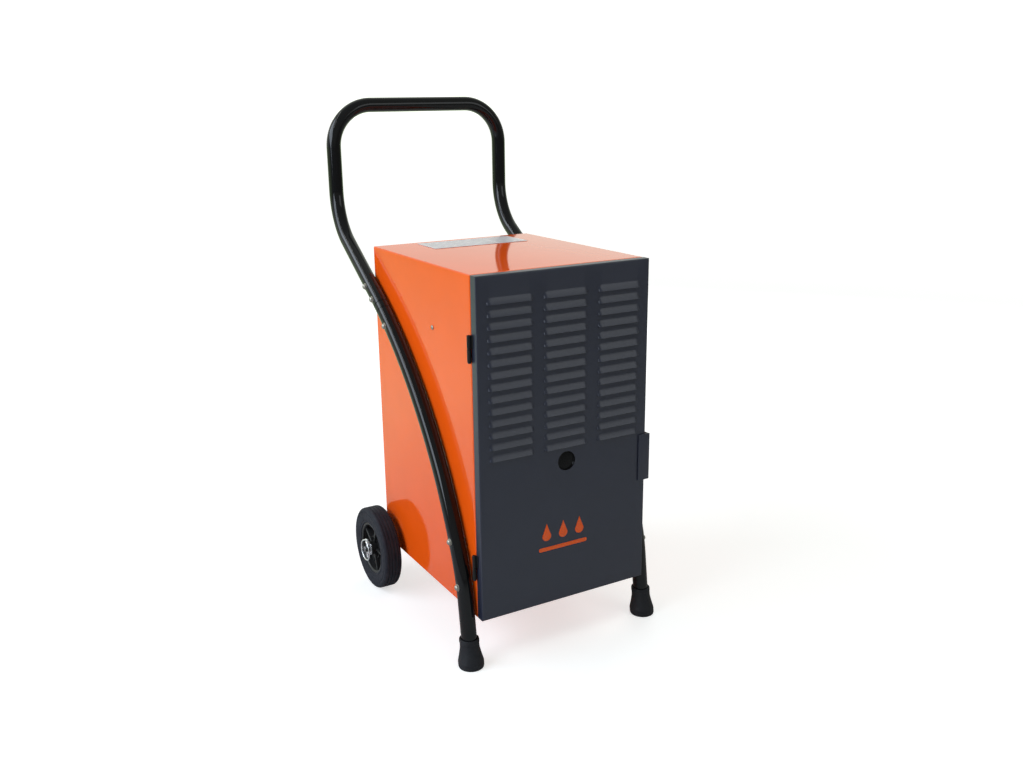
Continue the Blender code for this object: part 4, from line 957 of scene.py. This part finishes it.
def fold_edges_back(shape):
    """Bends the sheet's outer edge back round all four sides, to the door's depth."""
    x_limit, z_low, z_high = SIDE - BEND - TINY, BOTTOM + BEND + TINY, TOP - BEND - TINY

    def outer(vertex):
        return abs(vertex.co.x) > x_limit or vertex.co.z < z_low or vertex.co.z > z_high

    border = [edge for edge in shape.edges if edge.is_boundary and all(map(outer, edge.verts))]
    stages = [(BEND * math.sin(a), BEND * (1 - math.cos(a))) for a in quarter_turn(6)[1:]]
    for out, back in (*stages, (BEND, DOOR_DEPTH)):
        made = bmesh.ops.extrude_edge_only(shape, edges=border)["geom"]
        fresh = {item for item in made if isinstance(item, bmesh.types.BMVert)}
        edges = [item for item in made if isinstance(item, bmesh.types.BMEdge)]
        border = [edge for edge in edges if fresh.issuperset(edge.verts)]
        for vertex in fresh:
            x, _, z = vertex.co
            if abs(x) > x_limit:
                x = math.copysign(SIDE - BEND + out, x)
            if z < z_low:
                z = BOTTOM + BEND - out
            elif z > z_high:
                z = TOP - BEND + out
            vertex.co = (x, FACE + back, z)


def make_door():
    window = middle("sight_window")
    window.y = FACE
    sheet = carved(door_sheet(), rod(WINDOW_RADIUS, 0.02, "Y", window, 64))
    show("door_sheet", sheet, "anthracite_paint", "front_door")
    make_window(window)
    make_pull()
    make_badge()
    make_filter()
    for height in ("upper", "lower"):
        make_hinge(height)


def make_window(window):
    """A smoked lens set just behind the door's face, in a thin bezel."""
    body, flange, back = WINDOW_RADIUS - GAP, WINDOW_RADIUS + 0.004, 0.0045
    profile = [(0, back), (flange, back), (flange, SHEET + GAP), (body, SHEET + GAP), (body, 0.0003)]
    profile += [(body - 0.0004, 0.0000), (body - 0.0010, 0.0002), (body - 0.0014, 0.0012)]
    profile += [(body - 0.0022, 0.0022), (0.009, 0.0014), (0.004, 0.0011), (0, 0.0010)]
    show("sight_lens", lathe(profile, "Y", window, 64), "smoked_lens", "sight_window")


def make_pull():
    """A pressed strip on the door's face, hemmed round its far edge."""
    x, y, z = extent("door_pull")
    strip = block(x, (y[0], FACE - GAP), z, 0.0010, 4)
    lip = block((x[1] - 0.0022, x[1]), (y[0] + 0.0004, y[1]), inset(z, 0.001), 0.0009, 4)
    show("pull_strip", merged(strip, lip), "anthracite_paint", "door_pull")


def make_badge():
    """A plain emblem: water drops over a bar, as a thin painted transfer."""
    thickness = 0.0003
    at = (0, FACE - thickness / 2 - 0.0001, 0)
    radius, low, tip, waist = 0.0088, 0.2185, 0.242, 0.236
    outlines = []
    for x in (-0.040, -0.006, 0.028):
        point = [(x + 0.0022, waist), (x, tip), (x - 0.0022, waist)]
        outlines.append(arc((x, low), radius, -215, 35, 24) + point)
    outlines.append(rounded_outline((-0.056, 0.044), (0.1905, 0.1975), 0.003))
    emblem = merged(*[plate(outline, thickness, at=at) for outline in outlines])
    show("door_emblem", emblem, "orange_gloss_paint", body="door")


def make_filter():
    """A foam mat in a moulded frame with cross bars, clipped behind the louvers."""
    x, y, z = extent("air_filter")
    mat = block(inset(x, 0.004), (y[0] + 0.0008, y[0] + 0.0042), inset(z, 0.004), 0.0012)
    show("filter_mat", mat, "filter_foam", "air_filter")
    width = 0.008
    bars = [block(x, y, (z[0], z[0] + width)), block(x, y, (z[1] - width, z[1]))]
    for i in range(4):
        left = x[0] + i * (x[1] - x[0] - width) / 3
        bars.append(block((left, left + width), y, z))
    for i in range(1, 4):
        bars.append(block(x, (y[0] + 0.005, y[1]), about(z[0] + i * (z[1] - z[0]) / 4, 0.002)))
    show("filter_frame", merged(*bars), "black_plastic", body="door")


def make_hinge(height):
    """A lift-off hinge: two chamfered knuckles round a headed pin, each on its own leaf."""
    x, y, _ = JOINT_AT["door_hinge"]
    surface = -SIDE - GAP
    radius, bore, chamfer = 0.0037, 0.0019, 0.0005
    for part in ("cabinet", "door"):
        node = f"hinge_{height}_{part}"
        _, limits, z = extent(node)
        half = (z[1] - z[0]) / 2
        profile = [(bore, half), (radius - chamfer, half), (radius, half - chamfer)]
        if part == "cabinet":
            leaf_y, wing_y = (COVER_FRONT + 0.0006, COVER_FRONT + 0.0022), (COVER_FRONT + 0.0010, limits[1])
        else:
            rear = FACE + DOOR_DEPTH
            leaf_y, wing_y = (rear - 0.0024, rear - 0.0004), (limits[0], rear - 0.0010)
        leaf = block((x + 0.0010, surface), leaf_y, z, 0.0004, 2)
        wing = block((surface - 0.0010, surface), wing_y, z, 0.0004, 2)
        knuckle = ring(profile, (x, y, z[0] + half), 32, "Z")
        show(f"knuckle_{height}_{part}", merged(knuckle, leaf, wing), "black_steel", node)
    low, high = extent(f"hinge_{height}_pin")[2]
    radius = 0.0016
    profile = [(0, high), (radius - 0.0004, high), (radius, high - 0.0004), (radius, low + 0.0015)]
    profile += [(0.0026, low + 0.0015), (0.0028, low + 0.0012), (0.0028, low + 0.0004)]
    profile += [(0.0022, low), (0, low)]
    show(f"pin_{height}", lathe(profile, "Z", (x, y, 0), 24), "black_steel", f"hinge_{height}_pin")


# Inside ---------------------------------------------------------------------------------


def make_coil(name, bend_side):
    """A finned coil: thin upright fins between two end plates, with copper tubes and their return bends."""
    _, y, z = extent(name)
    count, reach, plate_width, fin_half = 110, 0.138, 0.0015, 0.00012
    fins = []
    for i in range(count):
        x = (reach - 0.004) * (2 * i / (count - 1) - 1)
        fins.append(block(about(x, fin_half), inset(y, 0.0018), inset(z, 0.002), 0.00005, 1))
    for x in (-reach, reach - plate_width):
        fins.append(block((x, x + plate_width), y, z, 0.0004, 1))
    show(f"{name}_fins", merged(*fins), "fin_aluminium", name)
    tubes = []
    pitch = 0.0254
    rows = int((z[1] - z[0] - 0.02) / pitch)
    start = (z[0] + z[1]) / 2 - pitch * (rows - 1) / 2
    bend = [(0.00078 + 0.585 * out, up) for out, up in arc((0, 0), pitch / 2, -90, 90, 8)]
    for depth in about((y[0] + y[1]) / 2, 0.011):
        for row in range(rows):
            height = start + row * pitch
            tubes.append(bar([(x, depth, height) for x in about(0, reach + 0.003)], 0.0046, 12))
            if row % 2 == 0 and row + 1 < rows:
                points = [(bend_side * (reach + out), depth, height + pitch / 2 + up) for out, up in bend]
                tubes.append(bar(points, 0.0042, 12))
    show(f"{name}_tubes", merged(*tubes), "copper_pipe", body="machine")


def make_shroud():
    """The fan's wall, with a round orifice in a rolled ring."""
    x, _, z = extent("fan_shroud")
    fan = JOINT_AT["fan_spin"]
    inner, lip, wall_y = 0.122, 0.1235, FACE + 0.158
    outline = rounded_outline(x, z, 0.001, 2)
    wall = plate(outline, SHEET, [circle(inner, 72, (fan.x, fan.z))], "Y", (0, wall_y, 0))
    profile = [(inner, 0.0460), (lip, 0.0460), (lip, 0.0012), (inner, 0.0), (inner, 0.0460)]
    mouth = lathe(profile, "Y", (fan.x, wall_y, fan.z), 72)
    show("shroud_sheet", merged(wall, mouth), "galvanised_steel", "fan_shroud")


def make_fan():
    """An axial rotor with a hub cap and twisted, swept blades."""
    cap = [(0, 0.002), (0.006, 0.002), (0.006, 0.0135), (0.0275, 0.0135), (0.0290, 0.012)]
    cap += [(0.0290, -0.0085), (0.0275, -0.0115), (0.0240, -0.0138), (0, -0.0142)]
    blades = [fan_blade(2 * math.pi * i / BLADES) for i in range(BLADES)]
    rotor = merged(lathe(cap, "Y", sides=56), *blades)
    show("fan_blades", moved(rotor, JOINT_AT["fan_spin"]), "fan_plastic", "fan_rotor")


def fan_blade(turn):
    """One blade as a thin twisted sheet from the hub to near the ring."""
    root, tip, across, along = 0.027, 0.1145, 10, 12
    rings = []
    for i in range(along + 1):
        share = i / along
        radius = root + (tip - root) * share
        width = math.radians(34 + 14 * share)
        pitch = 0.0105 + 0.0015 * share
        line = []
        for j in range(across + 1):
            t = j / across - 0.5
            angle = turn + width * t + math.radians(16) * share
            line.append((radius * math.sin(angle), 2 * pitch * t - 0.001, radius * math.cos(angle)))
        rings.append(line)
    return thickened(loft(rings), 0.0016)


def make_motor():
    """A pressed motor can with a shaft, on a strap across the back of the orifice."""
    fan = JOINT_AT["fan_spin"]
    front, shaft = 0.018, 0.0035
    can = [(0, 0.062), (0.028, 0.062), (0.031, 0.0605), (0.0385, 0.0555), (0.0400, 0.0525), (0.0400, 0.036)]
    can += [(0.0408, 0.0355), (0.0408, 0.0325), (0.0400, 0.032), (0.0400, 0.0035), (0.0375, 0), (shaft, 0)]
    profile = [(radius, front + depth) for radius, depth in can] + [(shaft, 0.0045), (0, 0.0045)]
    strap_y = (fan.y + front + 0.012, fan.y + front + 0.015)
    strap_z = about(fan.z, 0.009)
    pieces = [lathe(profile, "Y", fan, 56), block(about(fan.x, 0.132), strap_y, strap_z, 0.0006, 2)]
    for x in about(fan.x, 0.132):
        pieces.append(block(about(x, 0.0015), (FACE + 0.1592, strap_y[1]), strap_z, 0.0006, 2))
    show("motor_can", merged(*pieces), "motor_steel", "fan_motor")


def make_compressor():
    """A welded can with its seam and terminal cover, on three rubber feet."""
    base, high = extent("compressor")[2]
    top = high - base
    x, y = 0.040, FACE + 0.306
    radius, shoulder = 0.060, 0.030
    turns = reversed(quarter_turn(9))
    profile = [(radius * math.cos(a), top - shoulder + shoulder * math.sin(a) ** 0.8) for a in turns]
    profile += [(radius, 0.108), (0.0625, 0.1065), (0.0625, 0.1035), (radius, 0.102)]
    profile += [(radius, 0.040), (0.057, 0.028), (0.046, 0.018), (0, 0.012)]
    pieces = [lathe(profile, "Z", (x, y, base), 72)]
    grommet = [(0, 0.022), (0.006, 0.022), (0.010, 0.020), (0.010, 0.016), (0.0075, 0.0145)]
    grommet += [(0.0075, 0.0125), (0.010, 0.011), (0.010, 0.0), (0, 0.0)]
    grommets = []
    for i in range(3):
        place = Matrix.Translation((x, y, base)) @ Matrix.Rotation(math.radians(90 + 120 * i), 4, "Z")
        grommets.append(lathe(grommet, "Z", place @ Vector((0.070, 0, 0)), 32))
        pieces.append(moved(block((0.030, 0.079), (-0.010, 0.010), (0.0128, 0.0142), 0.0005, 2), place))
    pieces.append(block((x + 0.048, x + 0.078), about(y, 0.020), (base + 0.085, base + 0.130), 0.003, 4))
    show("compressor_shell", merged(*pieces), "compressor_black", "compressor")
    show("compressor_grommets", merged(*grommets), "black_rubber", body="machine")
    make_pipe(x, y, high + GAP)


def make_pipe(x, y, base):
    """The suction pipe, from the compressor's top round to the evaporator."""
    route = [
        (x - 0.010, y, base + 0.0012),
        (x - 0.010, y, base + 0.020),
        (x - 0.016, y - 0.010, base + 0.034),
        (x - 0.040, y - 0.030, base + 0.042),
        (x - 0.110, y - 0.050, base + 0.048),
        (-0.156, y - 0.066, base + 0.054),
        (-0.152, y - 0.080, base + 0.062),
        (-0.152, FACE + 0.188, 0.384),
    ]
    show("suction_pipe", bar(smooth_line(route, 8), 0.004, 20), "copper_pipe", "refrigerant_pipe")


def make_tray_and_shelf():
    """The drip tray with its spout, and the folded sheet that divides the tank's bay off."""
    x, y, (_, top) = extent("drip_tray")
    base, wall = top - 0.015, 0.0025
    tray = block(x, y, (base, top), 0.004, 4, "Z")
    tray = carved(tray, block(inset(x, wall), inset(y, wall), (base + wall, top + 0.01), 0.003, 3))
    bore = 0.0065
    profile = [(bore, 0.0), (0.009, 0.0), (0.009, -0.0125), (0.0083, -0.013), (bore, -0.013), (bore, 0.0)]
    spout = lathe(profile, "Z", (0.030, FACE + 0.100, base + 0.001), 32)
    show("tray_and_spout", merged(tray, spout), "grey_plastic", "drip_tray")
    x, y, z = extent("bay_divider")
    shelf_top = 0.105
    shelf = block(x, y, (shelf_top - SHEET, shelf_top), 0.0005, 2)
    wall = block(x, (y[1] - SHEET, y[1]), z, 0.0005, 2)
    lip = block(x, (y[0], y[0] + SHEET), (z[0], shelf_top), 0.0005, 2)
    show("bay_sheet", merged(shelf, wall, lip), "galvanised_steel", "bay_divider")


def make_tank():
    """A blow-moulded tank with a rolled rim and a loop handle, and the lugs of its float."""
    x, y, (low, high) = (-0.106, 0.150), (FACE + 0.054, FACE + 0.214), (0.1055, 0.300)
    wall = 0.0025
    shell = block(x, y, (low, high - 0.002), 0.010, 5)
    shell = carved(shell, block(inset(x, wall), inset(y, wall), (low + wall, high + 0.03), 0.008, 5))
    rim_line = rounded_outline(inset(x, -0.0002), inset(y, -0.0002), 0.012, 8)
    rim = bar([(u, v, high - 0.003) for u, v in rim_line], 0.0028, 16, cyclic=True)
    centre, grip_height = (x[0] + x[1]) / 2, 0.245
    grip = [(0.055, 0.0013), (0.055, -0.006), (0.053, -0.013), (0.045, -0.0168), (0.020, -0.017)]
    line = [(centre - across, y[0] + out, grip_height) for across, out in grip]
    line += [(centre + across, y[0] + out, grip_height) for across, out in reversed(grip)]
    handle = bar(smooth_line(line, 6), 0.0054, 20)
    pivot = JOINT_AT["float_pivot"]
    lugs = []
    for lug_x in about(pivot.x, 0.006):
        lug_y = (pivot.y - 0.004, y[1] - 0.001)
        lugs.append(block(about(lug_x, 0.0015), lug_y, about(pivot.z, 0.005), 0.0008, 2))
    show("tank_shell", merged(shell, rim, handle, *lugs), "tank_plastic", "water_tank")
    make_float(pivot)


def make_float(pivot):
    """A hollow float on an arm, with the pin it turns on."""
    arm = block(about(pivot.x, 0.003), (pivot.y - 0.050, pivot.y + 0.003), about(pivot.z, 0.003), 0.0012)
    x, y, z = extent("float_arm")
    body = block(x, (y[0], y[0] + 0.036), z, 0.0045, 5)
    pin = lathe(both_ways([(0, 0.0088), (0.0018, 0.0088), (0.0022, 0.0084)]), "X", pivot, 20)
    show("float_and_arm", merged(arm, body, pin), "float_plastic", "float_arm")


def make_magnet():
    """The catch that holds the door shut."""
    x, y, z = extent("door_magnet")
    body = block(x, (COVER_FRONT + SHEET + GAP, y[1]), z, 0.0012)
    nose = block(inset(x, 0.003), (y[0], COVER_FRONT + 0.004), (z[0] + 0.002, z[0] + 0.0085), 0.0005, 2)
    show("magnet_catch", merged(body, nose), "black_plastic", "door_magnet")


# Controls -------------------------------------------------------------------------------


def make_controls():
    x, (front, _), z = extent("control_panel")
    face = COVER_REAR + 0.003
    panel = block(x, (COVER_REAR + GAP, face), z, 0.0012, 4)
    back = block(inset(x, 0.0085), (front, face - 0.001), inset(z, 0.0085), 0.001, 2)
    switch, knob = JOINT_AT["switch_rocker"], JOINT_AT["hygrostat_turn"]
    socket_x, socket_z = about(switch.x, 0.0155), about(switch.z, 0.0115)
    socket = block(socket_x, (COVER_REAR - 0.012, face + 0.01), socket_z, 0.0006, 2)
    spindle = lathe([(0, 0.01), (0.0035, 0.01), (0.0035, -0.012), (0, -0.012)], "Y", knob, 32)
    panel = carved(carved(panel, back, operation="UNION"), socket, spindle)
    rim_x, rim_z = inset(socket_x, -0.0022), inset(socket_z, -0.0022)
    bezel = carved(block(rim_x, (face - 0.0005, face + 0.0011), rim_z, 0.0006, 3), socket)
    show("panel_moulding", merged(panel, bezel), "black_plastic", "control_panel")
    make_meter(face)
    make_dial(face, knob)
    make_rocker(switch)
    make_knob(knob)
    make_inlet()


def make_rocker(switch):
    """A dished rocker, tipped to its off side."""
    half = [(0.0140, -0.002), (0.0145, 0.0046), (0.0139, 0.0050), (0.0110, 0.0045), (0.0060, 0.0038)]
    outline = [*half, (0, 0.0034), *((-x, y) for x, y in reversed(half))]
    rocker = plate(outline, 0.0208, facing="Z")
    rocker.transform(Matrix.Translation(switch) @ Matrix.Rotation(math.radians(-8), 4, "Z"))
    show("rocker", rocker, "switch_red", "power_switch")


def make_inlet():
    """The cord's flared bush."""
    inlet = middle("cord_inlet")
    inlet.y = COVER_REAR
    bore, body, flange = 0.0062, 0.0082, 0.0125
    profile = [(bore, 0.012), (0.0078, 0.0122), (0.0086, 0.0115), (0.0092, 0.0080), (0.0100, 0.0060)]
    profile += [(0.0120, 0.0030), (flange, 0.0022), (flange, GAP), (body, GAP), (body, -0.008)]
    profile += [(bore, -0.008), (bore, 0.012)]
    show("inlet_bush", lathe(profile, "Y", inlet, 48), "black_plastic", "cord_inlet")


def make_meter(face):
    """An hour counter: a dark window with five plain number wheels."""
    x, z = (0.045, 0.092), (0.618, 0.642)
    wheel_y = (face + 0.0018, face + 0.0026)
    body = block(x, (face - 0.0005, face + 0.0018), z, 0.0008)
    window = block(inset(x, 0.005), (face + 0.001, face + 0.0022), inset(z, 0.007), 0.0004, 2)
    show("meter_frame", merged(body, window), "knob_plastic", body="machine")
    wheels = []
    for i in range(5):
        left = x[0] + 0.0065 + i * 0.0070
        wheels.append(block((left, left + 0.0056), wheel_y, inset(z, 0.0082), 0.0004, 2))
    show("meter_wheels", merged(*wheels), "silver_label", body="machine")


def make_dial(face, knob):
    """Tick marks round the knob, longer at both ends and in the middle."""
    ticks = []
    for i in range(11):
        length = 0.0042 if i % 5 == 0 else 0.0026
        tick = block((-0.0005, 0.0005), (-0.0001, 0.00015), (0.0165, 0.0165 + length), 0.00005, 1)
        turn = Matrix.Rotation(math.radians(-135 + 27 * i), 4, "Y")
        ticks.append(moved(tick, Matrix.Translation((knob.x, face, knob.z)) @ turn))
    show("dial_marks", merged(*ticks), "silver_label", body="machine")


def make_knob(knob):
    """A dial with a plain turned skirt and a raised pointer."""
    profile = [(0, 0.0150), (0.0090, 0.0150), (0.0104, 0.0146), (0.0112, 0.0136), (0.0122, 0.0060)]
    profile += [(0.0132, 0.0048), (0.0135, 0.0038), (0.0135, 0.001), (0.0030, 0.001)]
    profile += [(0.0030, -0.008), (0, -0.008)]
    pointer = block((-0.0016, 0.0016), (0.010, 0.0168), (-0.001, 0.0118), 0.0006)
    pointer.transform(Matrix.Rotation(math.radians(135), 4, "Y"))
    whole = merged(lathe(profile, "Y", sides=56), pointer)
    show("dial_knob", moved(whole, knob), "knob_plastic", "hygrostat_knob")


# Floor, light and camera ----------------------------------------------------------------


def make_floor():
    """A pale floor that the camera sees near white, and reflections see glowing warm behind the machine."""
    finish = Finish("floor", [FLOOR_ALBEDO] * 3, 0.85).set(Specular_IOR_Level=0.1)
    tree = finish.tree

    def times(first, second, operation="MULTIPLY"):
        return add_node(tree, "ShaderNodeMath", {0: first, 1: second}, "Value", operation=operation)

    camera = add_node(tree, "ShaderNodeLightPath", {}, "Is Camera Ray")
    glossy = add_node(tree, "ShaderNodeLightPath", {}, "Is Glossy Ray")
    distance = add_node(tree, "ShaderNodeVectorMath", {0: finish.place}, "Value", operation="LENGTH")
    rear = add_node(tree, "ShaderNodeSeparateXYZ", {"Vector": finish.place}, "Y")
    seen = times(camera, ranged(tree, distance, FLOOR_GLOW, FLOOR_GLOW_FAR, *FLOOR_NEAR_AND_FAR))
    mirrored = times(glossy, ranged(tree, rear, 0.0, FLOOR_GLOW_REAR, *FLOOR_REAR_EDGE))
    finish.set(Emission_Strength=times(seen, mirrored, "ADD"))
    finish.set(Emission_Color=mixed(tree, glossy, (1, 1, 1, 1), FLOOR_GLOW_REAR_COLOR))
    shape = bmesh.new()
    bmesh.ops.create_grid(shape, x_segments=2, y_segments=2, size=60)
    floor = bpy.data.objects.new("floor", to_mesh(shape, outward=False))
    floor.data.materials.append(finish.material)
    bpy.context.scene.collection.objects.link(floor)


def make_world():
    """A pale studio: a bright backdrop behind the machine, dimmer walls in front of it."""
    world = bpy.data.worlds.new("studio")
    bpy.context.scene.world = world
    world.use_nodes = True
    tree = world.node_tree
    place = add_node(tree, "ShaderNodeTexCoord", {}, "Generated")
    depth = add_node(tree, "ShaderNodeSeparateXYZ", {"Vector": place}, "Y")
    strength = ranged(tree, depth, WALL, BACKDROP, *WALL_TO_BACKDROP, interpolation_type="SMOOTHSTEP")
    for ray, level in (("Is Diffuse Ray", AMBIENT), ("Is Camera Ray", CAMERA_BACKDROP)):
        strength = mixed(tree, add_node(tree, "ShaderNodeLightPath", {}, ray), strength, level, "FLOAT")
    sockets = tree.nodes["Background"].inputs
    feed(tree, sockets["Color"], STUDIO_COLOR)
    feed(tree, sockets["Strength"], strength)


def add_light(name, place, target, size, energy, color, turn=0, glossy=True):
    """A soft rectangle of light, turned about its own axis."""
    data = bpy.data.lights.new(name, "AREA")
    data.shape = "RECTANGLE"
    data.size, data.size_y = size
    data.energy = energy
    data.color = color
    light = bpy.data.objects.new(name, data)
    light.location = place
    aim = (Vector(target) - Vector(place)).to_track_quat("-Z", "Y").to_matrix()
    light.rotation_euler = (aim @ Matrix.Rotation(math.radians(turn), 3, "Z")).to_euler()
    light.visible_glossy = glossy
    light.visible_camera = False
    bpy.context.scene.collection.objects.link(light)


def make_lights():
    """A long tilted softbox and a strip on the left, and soft lights overhead, behind and in front."""
    window_color, strip_color, overhead_color = (0.77, 0.86, 0.98), (1.0, 0.99, 0.96), (0.90, 1.0, 0.93)
    add_light("window", (-2.5, 0.1, 1.80), (-0.18, 0.05, 0.5), (3.4, 1.20), 77, window_color, WINDOW_TILT)
    add_light("ceiling_strip", (-2.0, 0.2, 2.9), (-0.1, 0.1, 0.5), (3.0, 0.07), 7, strip_color, WINDOW_TILT)
    add_light("overhead", (0.3, -1.1, 2.9), (0, -0.1, 0.5), (1.8, 1.0), 15, overhead_color, glossy=False)
    add_light("rear_fill", (2.1, 1.8, 1.6), (0.1, 0.1, 0.45), (1.8, 1.4), 30, strip_color, glossy=False)
    add_light("softbox", (1.4, -2.5, 1.6), (0, -0.2, 0.5), (1.6, 1.2), 8.2, (0.93, 0.97, 1.0))


def make_camera():
    """At the height and angle that the object is seen from, about 2 m away."""
    data = bpy.data.cameras.new("camera")
    data.sensor_width = 36
    data.lens = CAMERA_LENS
    data.clip_start = 0.05
    camera = bpy.data.objects.new("camera", data)
    yaw, pitch, roll = (math.radians(angle) for angle in CAMERA_TURNS)
    aim = Matrix.Rotation(-yaw, 4, "Z") @ Matrix.Rotation(math.pi / 2 - pitch, 4, "X")
    camera.matrix_world = Matrix.Translation(CAMERA_PLACE) @ aim @ Matrix.Rotation(-roll, 4, "Z")
    bpy.context.scene.collection.objects.link(camera)
    bpy.context.scene.camera = camera


make_frame()
make_wheels()
make_cabinet()
make_door()
make_coil("evaporator_coil", 1)
make_coil("condenser_coil", -1)
make_shroud()
make_fan()
make_motor()
make_compressor()
make_tray_and_shelf()
make_tank()
make_magnet()
make_controls()
make_floor()
make_world()
make_lights()
make_camera()
bpy.context.scene.view_settings.view_transform = "Standard"
